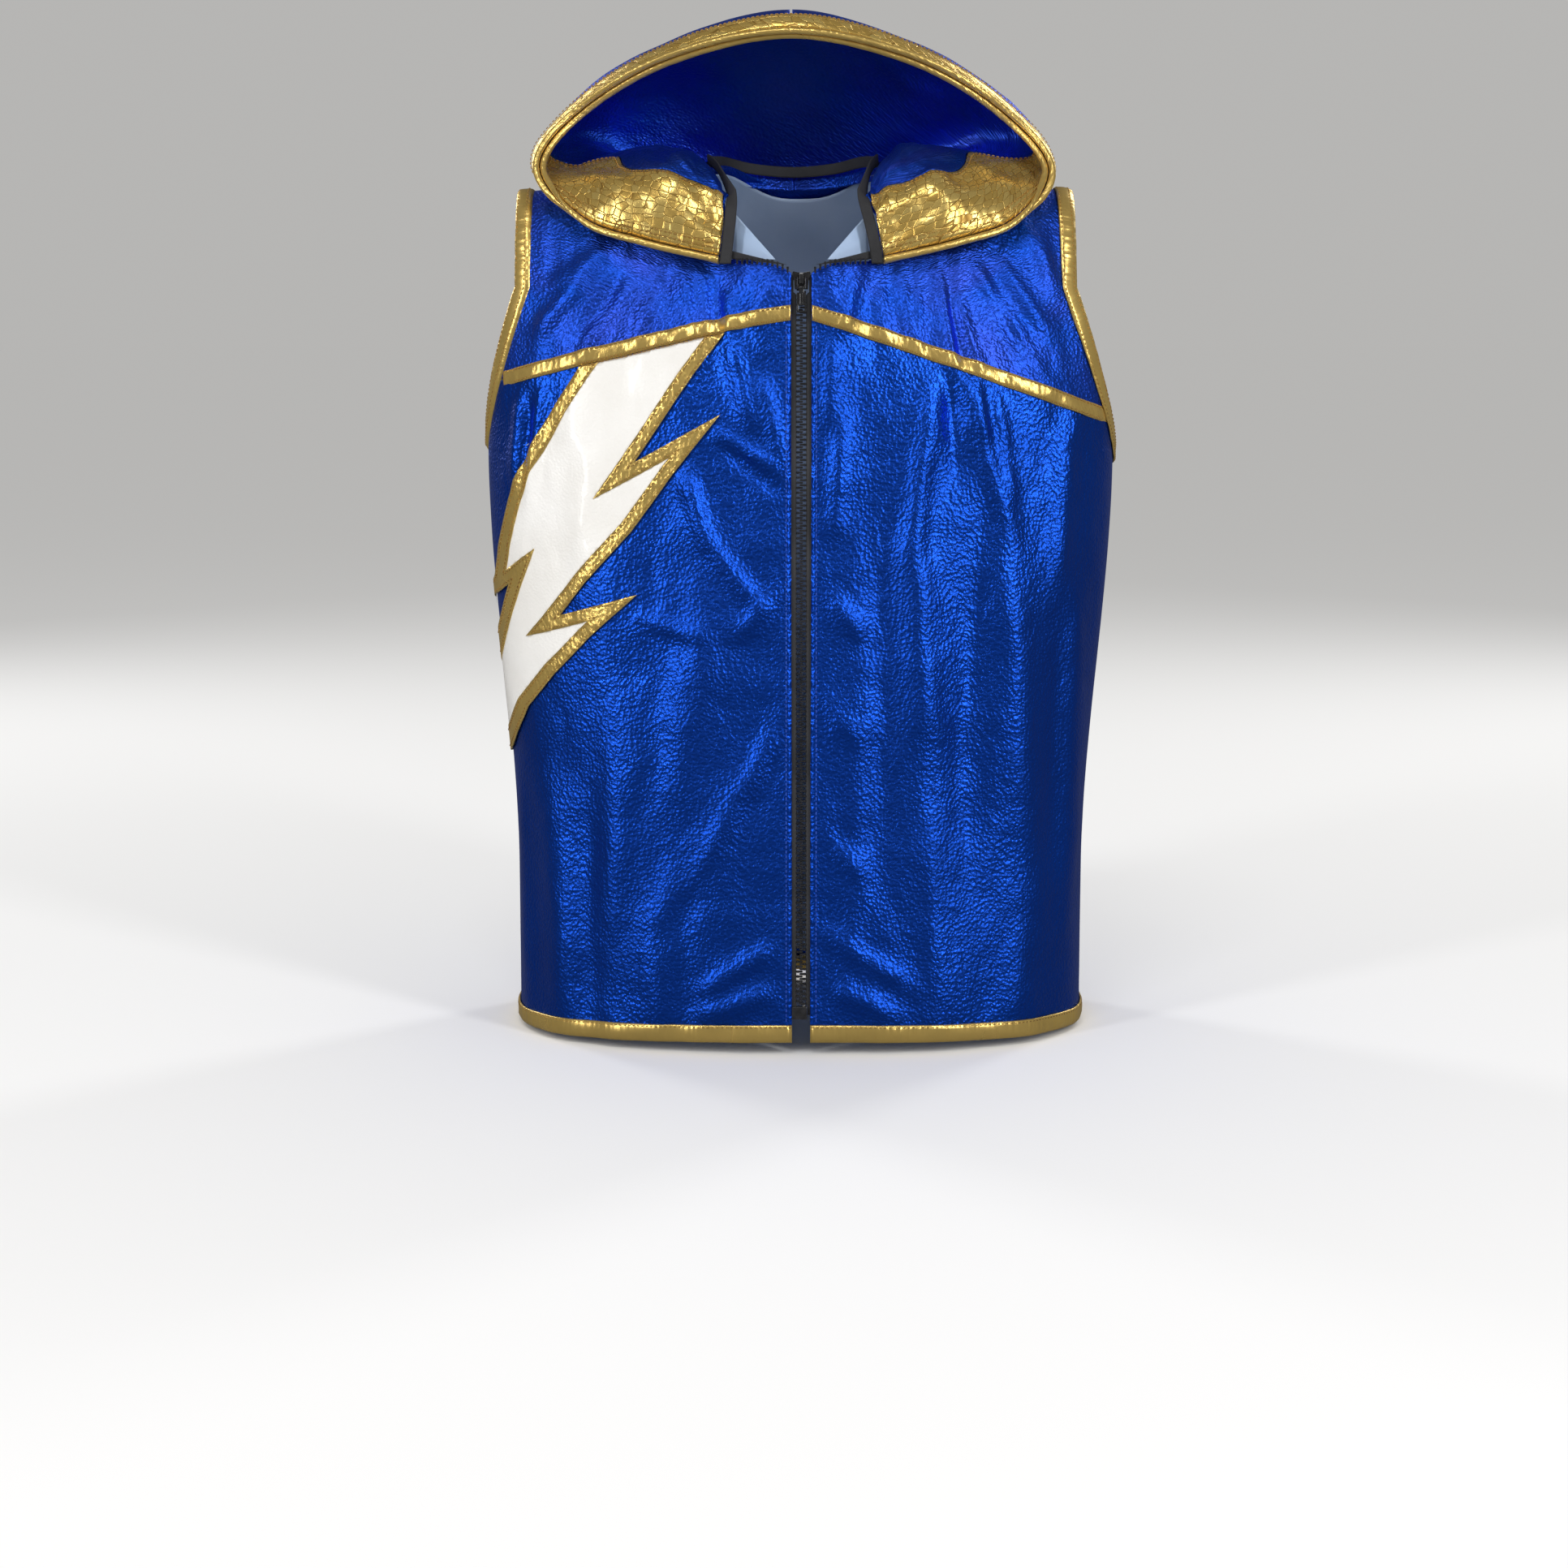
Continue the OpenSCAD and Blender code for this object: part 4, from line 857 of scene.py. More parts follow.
def make_looks(colours):
    groups = {"crinkle": crinkle_group(), "tone_and_sheen": tone_and_sheen_group(), "weave": weave_group()}
    blue, violet_painted_sheen, gold = tuple(colours.cloth), tuple(colours.painted_sheen), tuple(colours.gold)
    LOOKS["foil"] = foil_material("blue foil cloth", [c * 0.82 for c in blue], blue, 0.34, groups, 430.0, 0.85)
    # The yoke and hood mix a violet painted sheen into their blue through the slow patches; the lower cloth only
    # varies the tone of its blue.
    LOOKS["yoke"] = foil_material("blue foil cloth on the yoke", blue, violet_painted_sheen, 0.38, groups, 430.0, 0.85)
    LOOKS["hood"] = foil_material("blue foil cloth on the hood", [c * 0.8 for c in blue], violet_painted_sheen, 0.38, groups,
                                  430.0, 0.85)
    LOOKS["gold"] = foil_material("gold foil leather", [c * 0.8 for c in gold], gold, 0.28, groups, 300.0, 0.6, 0.78)
    LOOKS["snake"] = snake_material(groups)
    LOOKS["white"] = grained_material(groups)
    LOOKS["lining"] = woven_material("satin lining", (0.30, 0.42, 0.62), (0.46, 0.58, 0.78), 0.34, groups,
                                     1600.0, 1600.0, 0.15, 0.25)
    LOOKS["neck"] = woven_material("black woven tape", (0.006, 0.006, 0.007), (0.035, 0.035, 0.040), 0.62, groups,
                                   1100.0, 900.0)
    LOOKS["zip tape"] = woven_material("zip tape weave", (0.008, 0.008, 0.009), (0.045, 0.045, 0.050), 0.7, groups,
                                       1300.0, 800.0, 0.0, 0.6)
    LOOKS["plastic"] = hard_material("black moulded plastic", (0.010, 0.010, 0.011), (0.030, 0.030, 0.033), 0.30,
                                     groups)
    LOOKS["enamel"] = hard_material("black enamel", (0.008, 0.008, 0.009), (0.022, 0.022, 0.024), 0.22, groups,
                                    0.0, 0.6)
    LOOKS["pin"] = hard_material("bright pin", (0.62, 0.62, 0.60), (0.80, 0.80, 0.79), 0.24, groups, 1.0)
    LOOKS["gold thread"] = woven_material("gold thread", (0.16, 0.08, 0.015), (0.42, 0.24, 0.05), 0.5, groups,
                                          3000.0, 3000.0, 0.2, 0.3, "Object")
    LOOKS["blue thread"] = woven_material("blue thread", (0.01, 0.05, 0.38), (0.03, 0.11, 0.60), 0.5, groups,
                                          3000.0, 3000.0, 0.1, 0.3, "Object")


# ---------- settings a user may change ----------
class ClothSettings(bpy.types.PropertyGroup):
    fold_depth: FloatProperty(
        name="Fold depth", description="Height of the folds, 1 as worn", default=1.0, min=0.0, max=1.5)
    columns: IntProperty(
        name="Cloth columns", description="Grid columns on one front", default=110, min=20, max=160)
    rows: IntProperty(
        name="Cloth rows", description="Grid rows from hem to neck", default=180, min=30, max=260)
    stitch: FloatProperty(
        name="Stitch length", description="Length of one stitch", default=0.0022, min=0.001, max=0.005,
        unit="LENGTH")


class ColourSettings(bpy.types.PropertyGroup):
    cloth: FloatVectorProperty(
        name="Cloth", description="Blue of the foil cloth", subtype="COLOR", size=3, min=0, max=1,
        default=(0.010, 0.098, 0.72))
    # The sheen colour is a painted sheen: a violet mixed into the base colour of the yoke and hood cloth in slow
    # patches, in place of a real reflection.
    painted_sheen: FloatVectorProperty(
        name="Sheen", description="Violet the cloth turns on the yoke and hood", subtype="COLOR", size=3,
        min=0, max=1, default=(0.038, 0.085, 0.66))
    gold: FloatVectorProperty(
        name="Gold", description="Gold of the bindings and bands", subtype="COLOR", size=3, min=0, max=1,
        default=(0.98, 0.68, 0.20))


class StageSettings(bpy.types.PropertyGroup):
    floor_gap: FloatProperty(
        name="Floor gap", description="Distance of the floor below the hem", default=0.002, min=0.0, max=0.5,
        unit="LENGTH")
    key_power: FloatProperty(
        name="Key light", description="Power of the large light at the front", default=23.0, min=0.0, max=200.0)


# ---------- cloth ----------
def flat_cut(place, steps=20):
    """Longest row and longest column of a sheet, in metres."""
    def length(points):
        return sum((b - a).length for a, b in zip(points, points[1:]))
    shares = [i / steps for i in range(steps + 1)]
    rows = [length([place(u, v) for u in shares]) for v in (0.0, 0.25, 0.5, 0.75, 1.0)]
    columns = [length([place(u, v) for v in shares]) for u in (0.0, 0.25, 0.5, 0.75, 1.0)]
    return round(max(rows), 3), round(max(columns), 3)


def make_sheet(name, nodes, body, cells, place, look, flip):
    """One sheet of cloth in the place of its nodes; cells is its columns and rows."""
    slot, thick = ("satin_lining", LINING_T) if look == "lining" else ("blue_foil_cloth", CLOTH_T)
    size = flat_cut(place)
    bm = grid_mesh(cells[0], cells[1], place, flip, wrap=True)
    area = sum(face.calc_area() for face in bm.faces)
    piece = finish_piece(name, bm, LOOKS[look])
    add_thickness(piece, thick)
    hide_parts(*nodes)
    settle(piece, body)
    return piece


def settle(piece, body):
    """Ties a piece to its body; hood pieces have their place baked into their mesh instead."""
    if body == "hood":
        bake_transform(piece)
    else:
        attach(piece, body)


class VEST_OT_cloth(bpy.types.Operator):
    """Lower fronts, yokes and back in foil cloth"""
    bl_idname = "vest.cloth"
    bl_label = "Cloth"

    def execute(self, context):
        settings = context.scene.vest_cloth
        columns, rows = settings.columns, settings.rows
        for side, word in ((1, "left"), (-1, "right")):
            make_sheet(
                f"front_{word}", [f"front_panel_{word}"], "vest", (columns, rows),
                lambda u, v: cloth_point(*front_place(u, v, side), -1, side, CLOTH_T),
                "foil", side < 0)
            make_sheet(
                f"yoke_{word}", [f"yoke_front_{word}"], "vest", (columns, rows // 2),
                lambda u, v: cloth_point(*yoke_place(u, v, side), -1, side, CLOTH_T),
                "yoke", side < 0)

        def back(u, v):
            q = 2 * u - 1
            return cloth_point(*back_place(abs(q), v), 1, -1 if q < 0 else 1, CLOTH_T)
        make_sheet("back", ["back_panel"], "vest", (2 * columns, rows), back, "foil",
                   True)
        return {"FINISHED"}


class VEST_OT_lining(bpy.types.Operator):
    """Satin lining behind the fronts and the back, and the folded neck corners that show it"""
    bl_idname = "vest.lining"
    bl_label = "Lining"

    def execute(self, context):
        for side, word in ((1, "left"), (-1, "right")):
            corner = self.corner(side, word)
            make_sheet(
                f"lining_{word}", [f"lining_front_{word}"], "vest", (40, 70),
                lambda u, v: cloth_point(*lining_place(u, v), -1, side, LINING_OUT),
                "lining", side < 0)

        def back(u, v):
            q = (2 * u - 1) * 0.95
            s, h = back_place(abs(q), mix(0.014, 0.97, v))
            return cloth_point(s, h, 1, -1 if q < 0 else 1, LINING_OUT)
        make_sheet("lining_of_back", ["lining_back"], "vest", (80, 70), back, "lining", True)
        return {"FINISHED"}

    def corner(self, side, word):
        behind = Vector((0, 0.0030, 0.0015))
        inner = body_on_front(0.018, collar_z(1)) + behind
        outer = body_on_front(0.047, collar_z(1)) + behind
        high = body_on_front(0.047, 0.030) + behind

        def place(u, v):
            p = inner + (outer - inner) * u + (high - outer) * (u * v)
            p.y += 0.0012 * math.sin(2.6 * math.pi * v) * u * (1 - v)
            return Vector((side * p.x, p.y, p.z))
        bm = grid_mesh(12, 12, place, side < 0, wrap=True)
        corner = finish_piece(f"neck_corner_{word}", bm, LOOKS["lining"])
        add_thickness(corner, LINING_T)
        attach(corner, "vest")
        return corner


def body_on_front(x, z):
    return body_point(share_at(x, z), height_at(x, z), -1)


def band_last(side):
    """The x at which the chest band ends, under the inner edge of the armhole's binding."""
    edge = body_on_front(band_reach(side), BAND_END[side])
    x = band_reach(side)
    while (body_on_front(x, band_level(x, side)) - edge).length < BINDING_COVER:
        x -= 0.0005
    return x


# ---------- gold trim ----------
BINDING_COVER = 0.0055   # reach of an armhole binding inwards of its edge, over a chest band's end
BAND_STEPS = 150
TUCK_FROM = 142          # the band's row from which its end dips under the binding
TUCK_ROWS = 5
TUCK_DEPTH = 0.0014
DEGREE_RISE = 0.0034   # rise of the body surface for one degree just above the chest level


def slide(s, h, way, toward, d):
    """The share and height found by going the distance d along the surface in a direction."""
    angle = asind(s)
    g = h if h >= 0 else h / DEGREE_RISE

    def at(a, b):
        return body_point(sind(min(90, a)), b if b >= 0 else b * DEGREE_RISE, way)
    step = 0.4
    top = min(90, g + step)
    a0, a1 = max(0, angle - step), min(90, angle + step)
    du = (at(a1, g) - at(a0, g)) / (a1 - a0)
    dv = (at(angle, top) - at(angle, top - 2 * step)) / (2 * step)
    uu, vv, uv = du.dot(du), dv.dot(dv), du.dot(dv)
    wu, wv = toward.dot(du) * d, toward.dot(dv) * d
    det = uu * vv - uv * uv
    a = (wu * vv - wv * uv) / det
    b = (wv * uu - wu * uv) / det
    g = min(90, g + b)
    return sind(min(90, max(0, angle + a))), (g if g >= 0 else g * DEGREE_RISE)


# Section of a folded binding: distance inwards from the cloth's edge, height above the body surface.
FOLDED = [
    (10.3, 1.5), (9.8, 2.2), (7.6, 2.7), (4.4, 2.8), (1.6, 2.6), (-0.4, 1.9), (-1.7, 0.7), (-2.1, -0.8),
    (-1.6, -2.4), (-0.2, -3.5), (2.4, -3.9), (6.0, -3.9), (9.4, -3.7),
]


def edge_frames(places, closed):
    """For each place (share, height, way, side): its point, inward and outward directions on the +X half."""
    skins = [body_skin(s, h, way) for s, h, way, side in places]
    points = [Vector((side * p.x, p.y, p.z)) for (p, out), (s, h, way, side) in zip(skins, places)]
    frames = []
    for i, ((p, out), (s, h, way, side)) in enumerate(zip(skins, places)):
        a = points[i - 1] if closed or i else points[i]
        b = points[(i + 1) % len(points)] if closed or i < len(points) - 1 else points[i]
        out = Vector((side * out.x, out.y, out.z))
        frames.append((points[i], out.cross(b - a).normalized(), out))
    return frames


def binding_point(place, frame_here, d, up):
    s, h, way, side = place
    point, inward, out = frame_here
    if d <= 0:
        rise = cloth_rise(side * abs(point.x), point.z, way)
        return point + inward * d + out * (up + rise)
    flat_in = Vector((side * inward.x, inward.y, inward.z))
    s2, h2 = slide(s, h, way, flat_in, d)
    return cloth_point(s2, h2, way, side, up)


def binding_piece(name, node, places, closed):
    frames = edge_frames(places, closed)
    if closed:
        places, frames = places + places[:1], frames + frames[:1]
    path = [f[0] for f in frames]
    last = len(FOLDED) - 1

    def across(i, u):
        d, up = FOLDED[round(u * last)]
        p = path[i]
        crease = noise.noise(Vector((p.x * 95, p.y * 95, p.z * 95 + d))) * 0.00045
        crease += noise.noise(p * 230) * 0.0002
        return binding_point(places[i], frames[i], d / 1000, up / 1000 + crease * (1 if up > 0 else 0))
    bm = strip_mesh(path, across, last, closed)
    bmesh.ops.recalc_face_normals(bm, faces=bm.faces)
    piece = finish_piece(name, bm, LOOKS["gold"])
    add_thickness(piece, 0.0007, 0.0)
    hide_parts(node)
    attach(piece, "vest")
    return piece


def armhole_places(side, count=110):
    front = [(i / count, -1) for i in range(count + 1)]
    rear = [(i / count, 1) for i in range(count - 1, 0, -1)]
    return [(*armhole_place(t, way), way, side) for t, way in front + rear]


def hem_places(count=70):
    shares = [mix(EDGE_HALF / CHEST_HALF, 1, sind(90 * i / count)) for i in range(count + 1)]
    rear = [sind(90 * i / count) for i in range(count, 0, -1)]
    run = [(s, -1, 1) for s in shares] + [(s, 1, 1) for s in rear] + [(0.0, 1, 1)]
    run += [(s, 1, -1) for s in reversed(rear)] + [(s, -1, -1) for s in reversed(shares)]
    return [(s, hem_level(s) - CHEST_LEVEL, way, side) for s, way, side in run if not (way > 0 and s >= 1)]


class VEST_OT_trim(bpy.types.Operator):
    """Gold bindings of the armholes and hem, and the chest bands"""
    bl_idname = "vest.trim"
    bl_label = "Gold trim"

    def execute(self, context):
        for side, word in ((1, "left"), (-1, "right")):
            binding_piece(f"binding_{word}", f"armhole_binding_{word}", armhole_places(side), True)
            self.band(side, word)
        binding_piece("hem", "hem_binding", hem_places(), False)
        return {"FINISHED"}

    def band(self, side, word):
        last = band_last(side)
        xs = [mix(EDGE_HALF + 0.0004, last, i / BAND_STEPS) for i in range(BAND_STEPS + 1)]
        half = [(-1.0, 1.4), (-0.93, 2.2), (-0.5, 2.7), (0.0, 2.8), (0.5, 2.7), (0.93, 2.2), (1.0, 1.4)]

        def across(i, u):
            share, up = half[round(u * 6)]
            x, z = xs[i], band_level(xs[i], side) + share * BAND_W / 2
            crease = noise.noise(Vector((x * 110, z * 110, side * 3))) * 0.0005
            tucked = TUCK_DEPTH * ease((i - TUCK_FROM) / TUCK_ROWS)
            return front_point(side * x, z, up / 1000 + crease - tucked)
        path = [front_point(side * x, band_level(x, side), 0.002) for x in xs]
        bm = strip_mesh(path, across, 6, flip=side > 0)
        piece = finish_piece(f"chest_trim_{word}", bm, LOOKS["gold"])
        add_thickness(piece, 0.0007)
        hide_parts(f"chest_band_{word}")
        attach(piece, "vest")


# ---------- lightning bolt ----------
def band_foot(x):
    return band_level(x, -1) - BAND_W / 2 - 0.0004


def bolt_outline():
    first, last = (x / 1000 for x in (154, 53))
    middle = [(x / 1000, z / 1000) for x, z in BOLT_POINTS]
    return [Vector((first, 0, band_foot(first)))] + [Vector((x, 0, z)) for x, z in middle] + [
        Vector((last, 0, band_foot(last)))]


def inset_outline(outline, depth):
    """Corners of the outline moved inwards by a depth, but not away from the chest band.

    The short edge after corner 5 vanishes inside, so corners 5 and 6 meet in one.
    """
    count = len(outline)
    twice_area = sum(a.x * b.z - b.x * a.z for a, b in zip(outline, outline[1:] + outline[:1]))
    turn = 1 if twice_area > 0 else -1
    lines = []
    for i, (a, b) in enumerate(zip(outline, outline[1:] + outline[:1])):
        run = (b - a).normalized()
        shift = 0.0 if i == count - 1 else depth * turn
        lines.append((a + Vector((-run.z, 0, run.x)) * shift, run))

    def meet(first, second):
        (p, r), (q, t) = first, second
        cross = r.x * t.z - r.z * t.x
        along = ((q.x - p.x) * t.z - (q.z - p.z) * t.x) / cross
        return p + r * along
    corners = [meet(lines[i - 1], lines[i]) for i in range(count)]
    if depth > 0.004:
        corners[5] = corners[6] = meet(lines[4], lines[6])
    return corners


def lay_flat_shape(bm, lift):
    """Cuts a flat shape of the right front finely and lays it on the cloth."""
    for axis, low, high, step in (("x", 0.04, 0.232, 0.004), ("z", -0.372, -0.036, 0.004)):
        normal = (1, 0, 0) if axis == "x" else (0, 0, 1)
        for i in range(int((high - low) / step) + 1):
            at = [c * (low + i * step) for c in normal]
            bmesh.ops.bisect_plane(bm, geom=bm.verts[:] + bm.edges[:] + bm.faces[:], plane_co=at, plane_no=normal)
    for vert in bm.verts:
        vert.co.x = asind(share_at(vert.co.x, vert.co.z)) / 1000
    bmesh.ops.dissolve_degenerate(bm, edges=bm.edges, dist=1e-6)
    for i in range(10, 90):
        bmesh.ops.bisect_plane(bm, geom=bm.verts[:] + bm.edges[:] + bm.faces[:],
                               plane_co=(i / 1000, 0, 0), plane_no=(1, 0, 0))
    layer = bm.loops.layers.uv.new("cloth")
    for face in bm.faces:
        for loop in face.loops:
            loop[layer].uv = (loop.vert.co.x * 3.9, loop.vert.co.z)
    for vert in bm.verts:
        s = sind(min(90, vert.co.x * 1000))
        h = height_at(s * half_width(min(vert.co.z, CHEST_LEVEL)), vert.co.z)
        vert.co = cloth_point(s, h, -1, -1, lift)
    bmesh.ops.recalc_face_normals(bm, faces=bm.faces)
    outward = sum(face.normal.y * face.calc_area() for face in bm.faces)
    if outward > 0:
        bmesh.ops.reverse_faces(bm, faces=bm.faces)


class VEST_OT_bolt(bpy.types.Operator):
    """White lightning bolt with its gold border on the right front"""
    bl_idname = "vest.bolt"
    bl_label = "Lightning bolt"

    def execute(self, context):
        outline = bolt_outline()
        inner = inset_outline(outline, 0.009)
        face_edge = inset_outline(outline, 0.0087)
        bm = bmesh.new()
        bm.faces.new([bm.verts.new(p) for i, p in enumerate(face_edge) if i != 6])
        lay_flat_shape(bm, BOLT_LIFT + 0.0006)
        panel = finish_piece("bolt", bm, LOOKS["white"])
        add_thickness(panel, 0.0007)
        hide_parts("bolt_panel")
        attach(panel, "vest")

        bm = bmesh.new()
        outer_verts = [bm.verts.new(p) for p in outline]
        inner_verts = [bm.verts.new(p) for i, p in enumerate(inner) if i != 6]
        inner_verts.insert(6, inner_verts[5])
        for i in range(len(outline) - 1):
            k = i + 1
            corners = [outer_verts[i], outer_verts[k], inner_verts[k], inner_verts[i]]
            bm.faces.new(list(dict.fromkeys(corners)))
        lay_flat_shape(bm, BORDER_LIFT + 0.0006)
        border = finish_piece("bolt_edge", bm, LOOKS["gold"])
        add_thickness(border, 0.0009)
        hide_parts("bolt_border")
        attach(border, "vest")
        return {"FINISHED"}


# ---------- hood ----------
HOOD_COLUMNS = 69
SKIRT_COLUMNS = 5          # the last columns hang down behind the vest and close the neck seam
SKIRT_DROP = 0.011
SKIRT_IN = (0.002, 0.0055)  # how far the skirt leans in, at the front corners and at the nape
STRIP_T = 0.0008

def hood_shares(u, t, w):
    """Share across the hood for a piece that starts at the inner end of a strip of width w."""
    return mix(strip_share(t, w), 1, u)


class VEST_OT_hood(bpy.types.Operator):
    """Hood cloth, its lining, the scale leather facing and band, and the double edge roll"""
    bl_idname = "vest.hood"
    bl_label = "Hood"

    def execute(self, context):
        for side, word in ((1, "left"), (-1, "right")):
            def shell(u, v):
                t = v * 0.9985
                seam = HOOD_COLUMNS - SKIRT_COLUMNS
                p = hood_point(t, min(1, u * HOOD_COLUMNS / seam), HOOD_LAYER + CLOTH_T, side)
                below = max(0, u * HOOD_COLUMNS - seam) / SKIRT_COLUMNS * mix(0.15, 1, ease(t / 0.15))
                inward = Vector((-p.x, -p.y, 0)).normalized() * mix(*SKIRT_IN, ease((t - 0.6) / 0.3))
                return p + (inward - Vector((0, 0, SKIRT_DROP))) * below
            make_sheet(
                f"hood_{word}", [f"hood_shell_{word}"], "hood", (HOOD_COLUMNS, 110), shell,
                "hood", side < 0)

        def inside(u, v):
            t, side = both_sides(v)
            return hood_point(t, hood_shares(u, t, FACING_W + 0.0006), -HOOD_LAYER - CLOTH_T, side)
        make_sheet("hood_inside_cloth", ["hood_lining"], "hood", (50, 200), inside, "hood",
                   False)

        def strip(name, node, width, lift, columns, flip):
            def place(u, v):
                t, side = both_sides(v)
                s = strip_share(t, width) * u
                puff = 0.0006 * math.sin(math.pi * u) + noise.noise(Vector((t * 70, u * 3, side * 5))) * 0.0004
                sign = 1 if lift > 0 else -1
                return hood_point(t, s, lift + sign * puff, side)
            bm = grid_mesh(columns, 260, place, flip)
            piece = finish_piece(name, bm, LOOKS["snake"])
            add_thickness(piece, STRIP_T)
            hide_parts(node)
            settle(piece, "hood")
        strip("hood_inner_facing", "hood_facing", FACING_W, -HOOD_LAYER - 0.0009, 14, False)
        strip("hood_band", "hood_outer_band", HOOD_BAND_W, HOOD_LAYER + CLOTH_T + 0.0014, 8, True)
        self.rolls()
        return {"FINISHED"}

    def rolls(self):
        for out in (-1, 1):
            def place(u, v):
                t, side = both_sides(v)
                across = hood_out(t, 0)
                away = (hood_base(t, 0) - hood_base(t, 0.04)).normalized()
                middle = hood_base(t, 0) + away * (PIPING_R + 0.0006) + across * (out * (PIPING_R + 0.0003))
                lump = 1 + 0.10 * noise.noise(Vector((t * 60, side * 3, out * 7)))
                turn = 2 * math.pi * u
                return leaned(middle + (across * math.cos(turn) + away * math.sin(turn)) * (PIPING_R * lump), side)
            bm = grid_mesh(12, 300, place, wrap=True)
            loops = [e for e in bm.edges if e.is_boundary]
            bmesh.ops.holes_fill(bm, edges=loops, sides=0)
            bmesh.ops.recalc_face_normals(bm, faces=bm.faces)
            piece = finish_piece("edge_roll_outer" if out > 0 else "edge_roll_inner", bm, LOOKS["gold"])
            settle(piece, "hood")
        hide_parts("hood_edge_piping")


class VEST_OT_neck(bpy.types.Operator):
    """Black woven tape over the neck seam"""
    bl_idname = "vest.neck"
    bl_label = "Neck tape"

    def execute(self, context):
        steps, front_part, half = 90, 0.4, 0.004

        def seam(q):
            if q < front_part:
                return hood_base(0, mix(-0.12, 1, q / front_part))
            return hood_base((q - front_part) / (1 - front_part), 1)

        def upright(q):
            return ease((q - front_part + 0.1) / 0.2)

        def place(q):
            p = seam(q)
            inward = Vector((-p.x, -p.y, 0)).normalized()
            low = Vector((-half - 0.0008, -0.003, 0))
            return p + low.lerp(inward * 0.007 + Vector((0, 0, 0.0015)), upright(q))
        path = [place(1 - abs(i) / steps) for i in range(-steps, steps + 1)]

        def across(i, u):
            q = 1 - abs(i - steps) / steps
            w = Vector((-1, 0, 0)).lerp(Vector((0, 0, 1)), upright(q)).normalized()
            wave = noise.noise(Vector((q * 40, i / steps, 5))) * 0.0003
            p = path[i] + w * (half * (2 * u - 1)) + Vector((0, wave, 0))
            return leaned(p, -1 if i < steps else 1)
        bm = strip_mesh(path, across, 6)
        piece = finish_piece("neck_band", bm, LOOKS["neck"])
        add_thickness(piece, 0.0008, 0.0)
        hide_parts("neck_tape")
        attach(piece, "vest")
        return {"FINISHED"}


# ---------- zip ----------
ON_ZIP = Matrix.Translation((0, zip_y(0) + CHAIN_IN, 0)) @ Matrix.Rotation(-ZIP_LEAN, 4, "X")


def tooth_mesh():
    """One moulded tooth: a foot that grips the tape and a head that passes the middle of the chain."""
    bm = bmesh.new()
    half = TOOTH_PITCH / 4 - 0.000075
    add_block(bm, (0.0014, -TOOTH_T / 2, -half), (TOOTH_REACH - TOOTH_CROSS + 0.0003, TOOTH_T / 2, half))
    add_block(bm, (-TOOTH_CROSS, -TOOTH_T / 2 + 0.0002, -half * 0.86), (0.0015, TOOTH_T / 2 - 0.0002, half * 0.86))
    bevel_all(bm, 0.00028, 1)
    mesh = bpy.data.meshes.new("tooth")
    bm.to_mesh(mesh)
    bm.free()
    return mesh


